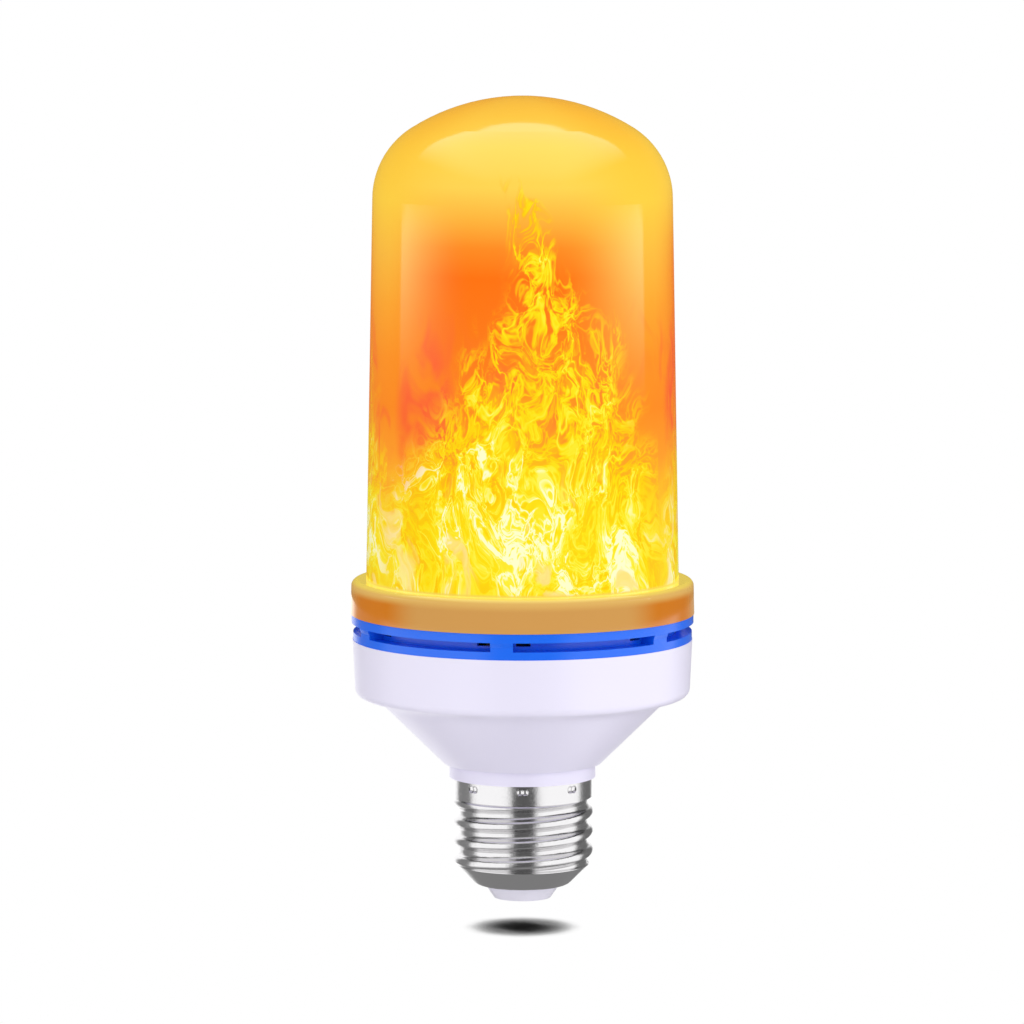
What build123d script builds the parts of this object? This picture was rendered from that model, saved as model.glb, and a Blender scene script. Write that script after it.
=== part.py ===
from build123d import *
from math import acos, cos, hypot, pi, radians, sin, tan
import os

# Flame effect LED bulb on an Edison screw cap of 27 mm nominal size.
# Millimetres, +Z from the cap's end contact up through the domed cover, origin at the contact's face.

os.makedirs("parts", exist_ok=True)

# Fits
fit_gap = 0.1  # clearance of a seated fit
part_gap = 0.25  # clearance of a shank in its hole and of the stub in the threaded shell

# Lamp cap: a rolled sheet shell, an insulator and a riveted end contact
thread_crest_diameter = 26.3
thread_depth = 1.1
thread_pitch = 3.629
thread_root_land = 0.05  # the root is this much shallower than a full arc, which leaves a narrow land
thread_lead_in = 0.9  # how far below the shoulder's top the thread begins, at +X
thread_run_on = 1.8  # how far it climbs behind the plain band's foot, where it dies out
thread_joint = 2  # the thread is swept in two lengths; the second begins after this many turns
shell_sheet = 0.35
shell_height = 20.3
shell_hole_radius = 7.4
shell_lip_width = 1.2  # from the hole to the line of the 45 degree shoulder
shell_lip_bend = 2.2  # outer bend between the lip and the 45 degree shoulder
shoulder_step = 0.35  # the shoulder's top stands this far outside the thread's root
shoulder_land = 0.1  # short upright wall above the 45 degree shoulder
fade_reach = 0.5  # the cones that fade the thread out run on this far, outside and below it
fade_overlap = 0.2  # how far the faded thread reaches into the plain band
band_inset = 0.2  # the plain band lies this far inside the thread's crest
band_height = 3.7
crimp_count = 8
crimp_turn = 45.0
crimp_spread = 4.0  # degrees between the two prongs of a crimp
crimp_inset = 1.2  # from the shell's top edge to the crimps' centres
crimp_punch_radius = 0.8
crimp_depth = 0.45
contact_stand = 0.3  # how far the end contact stands below the insulator
contact_radius = 4.8
contact_flat_radius = 3.0
contact_plate = 0.9
contact_edge_rise = 0.5  # where the plate's domed face meets its upright edge
rivet_radius = 1.5
rivet_head_radius = 2.6
rivet_head_height = 0.8
insulator_margin = 0.5  # insulator around the contact's plate
insulator_waist_inset = 0.4  # the tapered foot's top edge lies this far inside the shell's hole
insulator_foot_height = 2.5
insulator_rise = 3.2  # above the shell's lowest edge
insulator_bevel = 0.8  # rise from its narrow seat in the shell's hole to the 45 degree wall

# Housing: one moulding from the stub inside the cap up to the bowl's rim
housing_wall = 2.0
stub_wall = 1.6
stub_foot_chamfer = 1.0
neck_step = 0.65  # how far the neck stands out over the plain band
neck_height = 2.7
neck_edge = 0.6
cone_foot_step = 1.2
cone_foot_edge = 0.8
cone_height = 10.5
bowl_step_height = 2.0  # from the cone's top to the bowl's foot
bowl_step_width = 3.9
bowl_foot_width = 1.7  # flat underside outside the step
bowl_height = 10.7
bowl_draft = 0.5  # radius gained from the bowl's foot to its rim
bowl_rim_radius = 31.55
bowl_corner = 1.6
bowl_lip = 0.25  # how far the bowl hangs over the step below it
lead_notch_width = 1.8
lead_notch_height = 5.0

# Vent ring between the housing and the cover
ring_height = 4.8
ring_ledge = 0.65  # inner ledge inside the spigots
ring_band_inset = 0.1  # the ring's band lies this far inside the bowl's rim
ring_lip_reach = 0.3
ring_lip_edge = 0.7
spigot_wall = 1.5
spigot_lead = 0.6
lower_spigot_height = 2.5
upper_spigot_height = 2.7
vent_count = 6
vent_rib_angle = 7.5
vent_rib_centre = -97.0  # the rib that faces the front, just left of the middle
vent_slot_height = 1.7
vent_slot_drop = 0.1  # below the ring's mid-height
vent_slot_depth = 2.9
vent_window_width = 2.6
vent_window_height = 1.0
snap_bead = 0.3
snap_height = 1.4  # above the ring's top face

# Cover: one frosted moulding with a wide collar at its foot
cover_wall = 1.6
cover_head_room = 17.4  # from the crown board to the dome's outer face
collar_height = 6.3
collar_overhang = 0.15  # the collar's foot stands this far outside the ring's lip
collar_draft = 0.15
collar_edge = 1.2
collar_wall = 1.6
collar_ledge = 2.75  # from the collar's top corner to the globe
globe_draft = 1.3
dome_height = 19.0
dome_shoulder_radius = 15.5

# Lamp column: a moulded carrier with a rolled flexible board and a crown board
carrier_plate = 1.8
carrier_height = 77.3  # from the plate's underside to the tube's top
carrier_tube_radius = 14.9
carrier_tube_wall = 1.5
plate_vent_count = 12
plate_vent_width = 2.6
plate_vent_length = 6.0
plate_vent_margin = 2.2  # plate left outside each vent
peg_boss_radius = 2.2
peg_boss_height = 12.0
peg_radius = 0.9
peg_head_radius = 1.6
peg_head_height = 0.7
flex_board = 0.3
flex_wrap_gap = 0.05
flex_foot_gap = 2.6  # clear height between the carrier's plate and the flexible board
flex_head_gap = 0.5
flex_seam = 1.0
lamp_columns = 11
lamp_rows = 9
lamp_margin = 4.6  # from the flexible board's edges to the first and last rows
lamp_width = 2.8
lamp_length = 3.5
lamp_height = 0.75
lamp_stand = 0.02  # solder under a lamp
lamp_window_inset = 0.45
lamp_window_depth = 0.15
crown_board = 1.0
crown_board_overhang = 0.3
crown_lamp_count = 6
crown_lamp_inset = 7.6  # from the crown board's edge to its lamps' centres
controller_length = 5.0
controller_width = 4.0
controller_height = 1.4

# Screws and their posts
screw_post_radius = 3.0
screw_post_gap = 2.3  # between a post and the ring's inner face
screw_count = 3
screw_post_angle = 90.0
carrier_screw_radius = 1.45
carrier_hole_depth = 9.0
board_post_radius = 2.6
board_post_inset = 3.0  # from the board's edge to its screws
board_post_angle = 30.0
board_screw_radius = 1.2
board_hole_depth = 7.0
hole_end_gap = 1.0  # left under a screw's tip
screw_head_ratio = 1.9  # head radius over shank radius
screw_head_height = 1.3
screw_slot = 0.5

# Driver board and what it carries
driver_board = 1.6
driver_board_drop = 5.9  # its underside below the bowl's rim
driver_board_gap = 0.8  # between its edge and the carrier's posts
component_gap = 4.2  # from the axis, where the live lead comes down, to the nearest tall part
main_capacitor_radius = 4.0
main_capacitor_height = 14.0
output_capacitor_radius = 3.15
output_capacitor_height = 7.2
output_capacitor_gap = 6.85
capacitor_groove = 0.35
choke_radius = 4.4
choke_height = 10.5
choke_flange = 1.3
choke_coil_depth = 2.4
choke_coil_inset = 0.5
film_length = 9.0
film_width = 4.4
film_height = 8.0
film_edge = 0.8
film_post_gap = 0.2  # between it and the board's front post
rectifier_length = 4.7
rectifier_width = 3.9
rectifier_height = 2.4
rectifier_offset = 6.6
converter_length = 4.9
converter_width = 3.9
converter_height = 1.5
converter_offset = 6.0
fuse_radius = 1.4
fuse_length = 7.0
fuse_lead_radius = 0.35
fuse_lead_span = 11.0
fuse_lead_bend = 0.85
fuse_rise = 2.0
fuse_offset = 4.2
lead_radius = 0.5
lead_drop = 7.0  # straight length below the driver board
live_lead_sway = 1.4
live_lead_rise = 4.0  # straight length above the rivet
live_lead_bend = 9.0
live_lead_foot_bend = 5.0
neutral_lead_x = 3.8
neutral_lead_y = -3.4
neutral_lead_bend = 6.0
neutral_lead_foot_bend = 1.6
supply_lead_inset = 1.8  # from the driver board's edge
supply_lead_gap = 2.0  # from the flexible board to its run through the carrier's plate
supply_lead_drop = 1.5  # straight length under the carrier's plate
supply_lead_spacing = 3.0
supply_lead_rise = 1.6  # where it turns towards the flexible board, below that board's lower edge
supply_lead_overlap = 2.4  # length of lead that lies against the flexible board
supply_lead_bend = 2.0

# Lamp cap: what follows from its sizes
thread_crest_radius = thread_crest_diameter / 2
thread_root_radius = thread_crest_radius - thread_depth
thread_arc_radius = (thread_pitch**2 / 4 + thread_depth**2) / (4 * thread_depth)
shoulder_radius = thread_root_radius + shoulder_step
band_radius = thread_crest_radius - band_inset
shell_foot = contact_stand + insulator_foot_height
shell_top = shell_foot + shell_height
shell_shoulder_top = shell_foot + shoulder_radius - shell_hole_radius - shell_lip_width
band_foot = shell_top - band_height
thread_foot = shell_shoulder_top - thread_lead_in
thread_turns = (band_foot + thread_run_on - thread_foot) / thread_pitch
thread_lengths = ((0, thread_joint), (thread_joint, thread_turns))
crimp_height = shell_top - crimp_inset
crimp_centre_radius = band_radius + crimp_punch_radius - crimp_depth
insulator_top = shell_foot + insulator_rise
rivet_top = insulator_top + rivet_head_height

# Housing: what follows from its sizes
stub_radius = thread_root_radius + thread_root_land - shell_sheet - part_gap
stub_band_radius = band_radius - shell_sheet - fit_gap
stub_crimp_radius = stub_band_radius - crimp_depth
stub_inner_radius = stub_radius - stub_wall
neck_radius = band_radius + neck_step
neck_top = shell_top + neck_height
cone_foot_radius = neck_radius + cone_foot_step
cone_top = neck_top + cone_height
bowl_foot = cone_top + bowl_step_height
bowl_floor = bowl_foot + housing_wall
bowl_rim = bowl_foot + bowl_height
bowl_foot_radius = bowl_rim_radius - bowl_draft
bowl_step_radius = bowl_foot_radius - bowl_foot_width
cone_top_radius = bowl_step_radius - bowl_step_width
cone_run = (cone_top_radius - cone_foot_radius) / cone_height  # radius gained per height

# Vent ring: what follows from its sizes
ring_foot = bowl_rim
ring_top = ring_foot + ring_height
ring_band_radius = bowl_rim_radius - ring_band_inset
ring_lip_radius = ring_band_radius + ring_lip_reach
collar_foot_radius = ring_lip_radius + collar_overhang
collar_bore_radius = collar_foot_radius - collar_wall
ring_upper_spigot_radius = collar_bore_radius - fit_gap
ring_lower_spigot_radius = bowl_rim_radius - housing_wall - fit_gap
ring_inner_radius = ring_lower_spigot_radius - spigot_wall - ring_ledge
vent_slot_angle = 360 / vent_count - vent_rib_angle
vent_slot_level = ring_foot + ring_height / 2 - vent_slot_drop
vent_wall_radius = ring_band_radius - vent_slot_depth

# Lamp column: what follows from its sizes
carrier_seat = ring_top
carrier_plate_top = carrier_seat + carrier_plate
carrier_plate_radius = ring_upper_spigot_radius - spigot_wall - fit_gap
carrier_top = carrier_seat + carrier_height
plate_vent_offset = carrier_plate_radius - plate_vent_margin - plate_vent_length / 2
peg_offset = carrier_tube_radius - carrier_tube_wall - peg_boss_radius + fit_gap * 2
flex_inner_radius = carrier_tube_radius + flex_wrap_gap
flex_outer_radius = flex_inner_radius + flex_board
flex_foot = carrier_plate_top + flex_foot_gap
flex_head = carrier_top - flex_head_gap
crown_top = carrier_top + crown_board
crown_board_radius = carrier_tube_radius + crown_board_overhang
crown_lamp_offset = crown_board_radius - crown_lamp_inset

# Cover: what follows from its sizes
cover_foot = ring_top
cover_apex = crown_top + cover_head_room
collar_top = cover_foot + collar_height
collar_top_radius = collar_foot_radius - collar_draft
globe_foot_radius = collar_top_radius - collar_ledge
globe_top_radius = globe_foot_radius - globe_draft
dome_spring = cover_apex - dome_height

# Driver board: what follows from its sizes
screw_post_offset = ring_inner_radius - screw_post_gap - screw_post_radius
driver_board_seat = bowl_rim - driver_board_drop
driver_board_top = driver_board_seat + driver_board
driver_board_radius = screw_post_offset - screw_post_radius - driver_board_gap
board_post_offset = driver_board_radius - board_post_inset
main_capacitor_offset = component_gap + main_capacitor_radius
choke_offset = component_gap + choke_radius
output_capacitor_offset = output_capacitor_gap + output_capacitor_radius
film_offset = board_post_offset - board_post_radius - film_post_gap - film_width / 2
supply_lead_start = driver_board_radius - supply_lead_inset
supply_lead_offset = flex_outer_radius + supply_lead_gap


# Lathe-turned forms: each is a closed outline in the XZ plane, turned about Z
def turned(points):
    """Solid of revolution about Z of the closed outline through the given (radius, height) points."""
    with BuildPart(mode=Mode.PRIVATE) as form:
        with BuildSketch(Plane.XZ):
            with BuildLine():
                Polyline(*points, close=True)
            make_face()
        revolve(axis=Axis.Z)
    return form.part


def knuckle_ridge(inset, start, end):
    """Knuckle thread's ridge between two counts of turns, with tangent crest and root arcs, moved in."""
    crest_arc = thread_arc_radius - inset
    root_arc = thread_arc_radius + inset
    crest_centre = thread_crest_radius - thread_arc_radius
    root_centre = thread_root_radius + thread_arc_radius
    reach = (root_centre - crest_centre) / (2 * thread_arc_radius)
    joint_angle = acos(reach)
    joint_r = root_centre - root_arc * cos(joint_angle)
    joint_z = thread_pitch / 2 - root_arc * sin(joint_angle)
    end_angle = acos(1 - 0.25 * thread_root_land / root_arc)
    mid_angle = (end_angle + joint_angle) / 2
    end_r = root_centre - root_arc * cos(end_angle)
    end_z = thread_pitch / 2 - root_arc * sin(end_angle)
    mid_r = root_centre - root_arc * cos(mid_angle)
    mid_z = thread_pitch / 2 - root_arc * sin(mid_angle)
    buried_r = thread_root_radius - inset - shell_sheet
    buried_z = end_z - shell_sheet
    level = thread_foot + thread_pitch * start
    with BuildPart(mode=Mode.PRIVATE) as ridge:
        with BuildLine() as path:
            Helix(
                pitch=thread_pitch,
                height=thread_pitch * (end - start),
                radius=crest_centre + crest_arc,
                center=(0, 0, level),
            )
        with BuildSketch(Plane.XZ) as section:
            with BuildLine():
                ThreePointArc((end_r, level + end_z), (mid_r, level + mid_z), (joint_r, level + joint_z))
                ThreePointArc(
                    (joint_r, level + joint_z), (crest_centre + crest_arc, level), (joint_r, level - joint_z)
                )
                ThreePointArc((joint_r, level - joint_z), (mid_r, level - mid_z), (end_r, level - end_z))
                Polyline(
                    (end_r, level - end_z),
                    (buried_r, level - buried_z),
                    (buried_r, level + buried_z),
                    (end_r, level + end_z),
                )
            make_face()
        sweep(sections=section.sketch, path=path.line, is_frenet=True)
    return ridge.part


def cap_form(inset):
    """Turned form of the screw shell moved in by inset, without its thread."""
    shoulder_r = shoulder_radius - inset
    root_r = thread_root_radius + thread_root_land - inset
    band_r = band_radius - inset
    foot = shell_foot + inset
    slant = inset * tan(radians(22.5))  # a 45 degree corner moves along its walls by this much
    shoulder_z = shell_shoulder_top + slant
    lip_run = shell_lip_bend - inset
    lip_z = foot + lip_run * (1 - cos(radians(45)))
    lip_r = shoulder_r - (shoulder_z - lip_z)
    foot_r = lip_r - lip_run * sin(radians(45))
    band_low = band_foot + slant
    with BuildPart(mode=Mode.PRIVATE) as form:
        with BuildSketch(Plane.XZ):
            with BuildLine():
                Polyline((0, foot), (foot_r, foot))
                RadiusArc((foot_r, foot), (lip_r, lip_z), -lip_run)
                Polyline(
                    (lip_r, lip_z),
                    (shoulder_r, shoulder_z),
                    (shoulder_r, shoulder_z + shoulder_land),
                    (root_r, shoulder_z + shoulder_land + shoulder_r - root_r),
                    (root_r, band_low - band_r + root_r),
                    (band_r, band_low),
                    (band_r, shell_top + inset),
                    (0, shell_top + inset),
                    (0, foot),
                )
            make_face()
        revolve(axis=Axis.Z)
        with Locations((0, 0, crimp_height)):
            for prong in (-crimp_spread / 2, crimp_spread / 2):
                with PolarLocations(crimp_centre_radius, crimp_count, crimp_turn + prong):
                    Sphere(crimp_punch_radius + inset, mode=Mode.SUBTRACT)
    return form.part


def faded_ridge(inset, start, end):
    """A length of the thread's ridge moved in by inset, run out into the shoulder and the plain band."""
    shoulder_r = shoulder_radius - inset
    shoulder_z = shell_shoulder_top + inset * tan(radians(22.5))
    crest_r = thread_crest_radius + fade_reach - inset
    band_r = band_radius - inset
    band_low = band_foot + inset * tan(radians(22.5))
    with BuildPart(mode=Mode.PRIVATE) as ridge:
        add(knuckle_ridge(inset, start, end), clean=False)
        add(
            turned(
                [
                    (0, shoulder_z - fade_reach),
                    (shoulder_r - fade_reach - shoulder_land, shoulder_z - fade_reach),
                    (crest_r, shoulder_z + shoulder_land + crest_r - shoulder_r),
                    (crest_r, band_low + band_r - crest_r - fade_overlap),
                    (band_r - fade_overlap, band_low),
                    (0, band_low),
                ]
            ),
            mode=Mode.INTERSECT,
            clean=False,
        )
    return ridge.part


# Screw shell: nickel plated sheet, rolled so that the thread shows inside and out
with BuildPart() as screw_shell:
    add(cap_form(0), clean=False)
    for start, end in thread_lengths:
        add(faded_ridge(0, start, end), clean=False)
    add(cap_form(shell_sheet), mode=Mode.SUBTRACT, clean=False)
    for start, end in thread_lengths:
        add(faded_ridge(shell_sheet, start, end), mode=Mode.SUBTRACT, clean=False)
    with BuildSketch(Plane.XY):
        Circle(shell_hole_radius)
    extrude(amount=shell_foot + 2 * shell_sheet, mode=Mode.SUBTRACT, clean=False)

# Insulator: fills the shell's foot and holds the end contact
with BuildPart() as cap_insulator:
    seat_r = shoulder_radius - shell_sheet - fit_gap
    seat_z = shell_shoulder_top + shell_sheet * tan(radians(22.5)) + fit_gap
    waist_z = shell_foot + shell_sheet + 2 * fit_gap
    hole_r = shell_hole_radius - fit_gap
    rise_r = seat_r - (seat_z - insulator_top)
    with BuildSketch(Plane.XZ):
        with BuildLine():
            Polyline(
                (0, contact_stand),
                (contact_radius + insulator_margin, contact_stand),
                (shell_hole_radius - insulator_waist_inset, shell_foot - fit_gap),
                (hole_r, shell_foot - fit_gap),
                (hole_r, waist_z),
                (rise_r - (insulator_top - waist_z) + insulator_bevel, waist_z + insulator_bevel),
                (rise_r, insulator_top),
                (0, insulator_top),
                close=True,
            )
        make_face()
    revolve(axis=Axis.Z)
    with BuildSketch(Plane.XY.offset(contact_stand)):
        Circle(contact_radius + fit_gap / 2)
    extrude(amount=contact_plate - contact_stand, mode=Mode.SUBTRACT)
    with BuildSketch(Plane.XY):
        Circle(rivet_radius + fit_gap / 2)
    extrude(amount=insulator_top, mode=Mode.SUBTRACT)

# End contact: domed plate with a rivet through the insulator
with BuildPart() as end_contact:
    with BuildSketch(Plane.XZ):
        with BuildLine():
            Polyline((0, contact_plate), (0, 0), (contact_flat_radius, 0))
            TangentArc((contact_flat_radius, 0), (contact_radius, contact_edge_rise), tangent=(1, 0))
            Polyline((contact_radius, contact_edge_rise), (contact_radius, contact_plate), (0, contact_plate))
        make_face()
    revolve(axis=Axis.Z)
    with BuildSketch(Plane.XY.offset(contact_plate)):
        Circle(rivet_radius)
    extrude(amount=insulator_top - contact_plate)
    with BuildSketch(Plane.XY.offset(insulator_top)):
        Circle(rivet_head_radius)
    extrude(amount=rivet_head_height)
    fillet(end_contact.edges().group_by(Axis.Z)[-1], rivet_head_height / 2)

# Housing: neck, cone and bowl in one moulding, with posts for the board and the carrier
cone_wall_shift = housing_wall * hypot(1, cone_run)
cone_inner_top = cone_foot_radius + (bowl_floor - neck_top) * cone_run - cone_wall_shift
cone_inner_foot = neck_top + (stub_inner_radius + cone_wall_shift - cone_foot_radius) / cone_run
with BuildPart() as housing_cavity:
    add(
        turned(
            [
                (0, insulator_top),
                (stub_inner_radius, insulator_top),
                (stub_inner_radius, cone_inner_foot),
                (cone_inner_top, bowl_floor),
                (bowl_foot_radius - housing_wall, bowl_floor),
                (bowl_rim_radius - housing_wall, bowl_rim - lower_spigot_height - fit_gap),
                (bowl_rim_radius - housing_wall, bowl_rim),
                (bowl_rim_radius - housing_wall, ring_top),
                (0, ring_top),
            ]
        )
    )
    with BuildSketch(Plane.XY.offset(neck_top)):
        with PolarLocations(screw_post_offset, screw_count, screw_post_angle):
            Circle(screw_post_radius)
    extrude(amount=ring_top - neck_top, mode=Mode.SUBTRACT)
    with BuildSketch(Plane.XY.offset(neck_top)):
        with PolarLocations(board_post_offset, screw_count, board_post_angle):
            Circle(board_post_radius)
    extrude(amount=driver_board_seat - neck_top, mode=Mode.SUBTRACT)

with BuildPart() as base_housing:
    crimp_relief = crimp_height - crimp_punch_radius - fit_gap
    with BuildSketch(Plane.XZ) as housing_section:
        with BuildLine():
            Polyline(
                (0, insulator_top),
                (stub_radius - stub_foot_chamfer, insulator_top),
                (stub_radius, insulator_top + stub_foot_chamfer),
                (stub_radius, band_foot),
                (stub_band_radius, band_foot + stub_band_radius - stub_radius),
                (stub_band_radius, crimp_relief),
                (stub_crimp_radius, crimp_relief),
                (stub_crimp_radius, shell_top),
                (neck_radius, shell_top),
                (neck_radius, neck_top),
                (cone_foot_radius, neck_top),
                (cone_top_radius, cone_top),
            )
            step_top = bowl_foot + bowl_lip
            RadiusArc((cone_top_radius, cone_top), (bowl_step_radius, step_top), bowl_step_width * 2)
            Polyline(
                (bowl_step_radius, step_top),
                (bowl_step_radius, bowl_foot),
                (bowl_foot_radius, bowl_foot),
                (bowl_rim_radius, bowl_rim),
                (0, bowl_rim),
                (0, insulator_top),
            )
        make_face()
        corners = housing_section.vertices()
        fillet(corners.sort_by_distance((bowl_foot_radius, bowl_foot))[0], bowl_corner)
        fillet(corners.sort_by_distance((cone_foot_radius, neck_top))[0], cone_foot_edge)
        fillet(corners.sort_by_distance((neck_radius, shell_top))[0], neck_edge)
    revolve(axis=Axis.Z)
    with BuildSketch(Plane.XY.offset(bowl_floor)):
        with PolarLocations(screw_post_offset, screw_count, screw_post_angle):
            Circle(screw_post_radius)
    extrude(amount=ring_top - bowl_floor)
    add(housing_cavity.part, mode=Mode.SUBTRACT)
    with Locations((0, 0, ring_top)):
        with PolarLocations(screw_post_offset, screw_count, screw_post_angle):
            Hole(carrier_screw_radius + fit_gap / 2, depth=carrier_hole_depth)
    with Locations((0, 0, driver_board_seat)):
        with PolarLocations(board_post_offset, screw_count, board_post_angle):
            Hole(board_screw_radius + fit_gap / 2, depth=board_hole_depth)
    with BuildSketch(Plane.XY.offset(insulator_top)):
        with Locations((0, -stub_radius)):
            Rectangle(lead_notch_width, 4 * stub_wall)
    extrude(amount=lead_notch_height, mode=Mode.SUBTRACT)

# Vent ring: six long slots into a shallow channel, with windows through the wall behind
vent_window_low = vent_slot_level + vent_slot_height / 2 - vent_window_height
with BuildPart() as vent_slot:
    with BuildSketch(Plane.XZ):
        with Locations(((vent_wall_radius + ring_lip_radius + 1) / 2, vent_slot_level)):
            Rectangle(ring_lip_radius + 1 - vent_wall_radius, vent_slot_height)
    revolve(axis=Axis.Z, revolution_arc=vent_slot_angle)
    window_turn = 180 / pi * (vent_window_width / 2 + 0.4) / vent_wall_radius
    for turn in (window_turn, vent_slot_angle - window_turn):
        with BuildSketch(Plane.XY.rotated((0, 0, turn)).offset(vent_window_low)):
            with Locations((vent_wall_radius - 0.5, 0)):
                Rectangle(vent_slot_depth, vent_window_width)
        extrude(amount=vent_window_height)

with BuildPart() as vent_ring:
    bead_level = ring_top + snap_height
    lower_r = ring_lower_spigot_radius
    upper_r = ring_upper_spigot_radius
    with BuildSketch(Plane.XZ) as ring_section:
        with BuildLine():
            Polyline(
                (ring_inner_radius, ring_foot),
                (lower_r - spigot_wall, ring_foot),
                (lower_r - spigot_wall, ring_foot - lower_spigot_height),
                (lower_r - spigot_lead, ring_foot - lower_spigot_height),
                (lower_r, ring_foot - lower_spigot_height + spigot_lead),
                (lower_r, ring_foot),
                (ring_band_radius, ring_foot),
                (ring_band_radius, vent_slot_level),
                (ring_lip_radius, vent_slot_level + ring_lip_edge),
                (ring_lip_radius, ring_top),
                (upper_r, ring_top),
                (upper_r, bead_level - snap_bead),
                (upper_r + snap_bead, bead_level),
                (upper_r, bead_level + snap_bead),
                (upper_r, ring_top + upper_spigot_height - spigot_lead),
                (upper_r - spigot_lead, ring_top + upper_spigot_height),
                (upper_r - spigot_wall, ring_top + upper_spigot_height),
                (upper_r - spigot_wall, ring_top),
                (ring_inner_radius, ring_top),
                close=True,
            )
        make_face()
    revolve(axis=Axis.Z)
    with PolarLocations(0, vent_count, vent_rib_centre + vent_rib_angle / 2):
        add(vent_slot.part, mode=Mode.SUBTRACT)


# Cover: collar, drafted globe and a dome of two tangent arcs
def cover_outline(inset, foot_points):
    """Closed half outline of the globe and dome moved in by inset, standing on the given foot points."""
    side = globe_top_radius - dome_shoulder_radius
    rise = dome_height - dome_shoulder_radius
    crown_radius = (side**2 + dome_height**2 - dome_shoulder_radius**2) / (2 * rise)
    crown_centre = cover_apex - crown_radius
    lean = hypot(side, dome_spring - crown_centre)
    join_r = side / lean * (crown_radius - inset)
    join_z = crown_centre + (dome_spring - crown_centre) / lean * (crown_radius - inset)
    side_top = (globe_top_radius - inset, dome_spring)
    Polyline((0, cover_apex - inset), (0, foot_points[0][1]), *foot_points, side_top)
    half_turn = acos((join_r - side) / (dome_shoulder_radius - inset)) / 2
    mid_r = side + (dome_shoulder_radius - inset) * cos(half_turn)
    mid_z = dome_spring + (dome_shoulder_radius - inset) * sin(half_turn)
    ThreePointArc(side_top, (mid_r, mid_z), (join_r, join_z))
    crown_turn = acos((join_z - crown_centre) / (crown_radius - inset)) / 2
    ThreePointArc(
        (join_r, join_z),
        ((crown_radius - inset) * sin(crown_turn), crown_centre + (crown_radius - inset) * cos(crown_turn)),
        (0, cover_apex - inset),
    )


with BuildPart() as diffuser_cover:
    with BuildSketch(Plane.XZ) as cover_section:
        with BuildLine():
            cover_outline(
                0,
                [
                    (collar_foot_radius, cover_foot),
                    (collar_top_radius, collar_top),
                    (globe_foot_radius, collar_top),
                ],
            )
        make_face()
        fillet(cover_section.vertices().sort_by_distance((collar_top_radius, collar_top))[0], collar_edge)
    revolve(axis=Axis.Z)
    groove_r = collar_bore_radius + snap_bead
    groove_level = cover_foot + snap_height
    web_level = collar_top - collar_wall
    with BuildSketch(Plane.XZ):
        with BuildLine():
            cover_outline(
                cover_wall,
                [
                    (collar_bore_radius, cover_foot),
                    (collar_bore_radius, groove_level - snap_bead),
                    (groove_r, groove_level),
                    (collar_bore_radius, groove_level + snap_bead),
                    (collar_bore_radius, web_level),
                    (globe_foot_radius - cover_wall, web_level),
                ],
            )
        make_face()
    revolve(axis=Axis.Z, mode=Mode.SUBTRACT)

# Carrier: vented plate and tube in one moulding, with pegs for the crown board
with BuildPart() as led_carrier:
    with BuildSketch(Plane.XY.offset(carrier_seat)):
        Circle(carrier_plate_radius)
        Circle(carrier_tube_radius - carrier_tube_wall, mode=Mode.SUBTRACT)
        with PolarLocations(plate_vent_offset, plate_vent_count, screw_post_angle + 180 / plate_vent_count):
            SlotOverall(plate_vent_length, plate_vent_width, mode=Mode.SUBTRACT)
        with PolarLocations(screw_post_offset, screw_count, screw_post_angle):
            Circle(carrier_screw_radius + part_gap, mode=Mode.SUBTRACT)
        with Locations((supply_lead_offset, 0)):
            SlotOverall(
                supply_lead_spacing + 4 * lead_radius, 3 * lead_radius, rotation=90, mode=Mode.SUBTRACT
            )
    extrude(amount=carrier_plate)
    with BuildSketch(Plane.XY.offset(carrier_plate_top)):
        Circle(carrier_tube_radius)
        Circle(carrier_tube_radius - carrier_tube_wall, mode=Mode.SUBTRACT)
    extrude(amount=carrier_top - carrier_plate_top)
    with BuildSketch(Plane.XY.offset(carrier_top - peg_boss_height)):
        with PolarLocations(peg_offset, 2, 90):
            Circle(peg_boss_radius)
    extrude(amount=peg_boss_height)
    with BuildSketch(Plane.XY.offset(carrier_top)):
        with PolarLocations(peg_offset, 2, 90):
            Circle(peg_radius)
    extrude(amount=crown_board)
    with BuildSketch(Plane.XY.offset(carrier_top + crown_board)):
        with PolarLocations(peg_offset, 2, 90):
            Circle(peg_head_radius)
    extrude(amount=peg_head_height)

# Flexible board: a strip rolled round the tube, with a narrow seam at the back
with BuildPart() as led_flex_board:
    with BuildSketch(Plane.XY.offset(flex_foot)):
        Circle(flex_outer_radius)
        Circle(flex_inner_radius, mode=Mode.SUBTRACT)
        with Locations((0, flex_outer_radius)):
            Rectangle(flex_seam, 4 * flex_board, mode=Mode.SUBTRACT)
    extrude(amount=flex_head - flex_foot)

# Lamp: surface-mounted LED package with a sunk window
with BuildPart() as lamp:
    Box(lamp_width, lamp_length, lamp_height, align=(Align.CENTER, Align.CENTER, Align.MIN))
    with BuildSketch(Plane.XY.offset(lamp_height)):
        Rectangle(lamp_width - 2 * lamp_window_inset, lamp_length - 2 * lamp_window_inset)
    extrude(amount=-lamp_window_depth, taper=20, mode=Mode.SUBTRACT)

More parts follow.
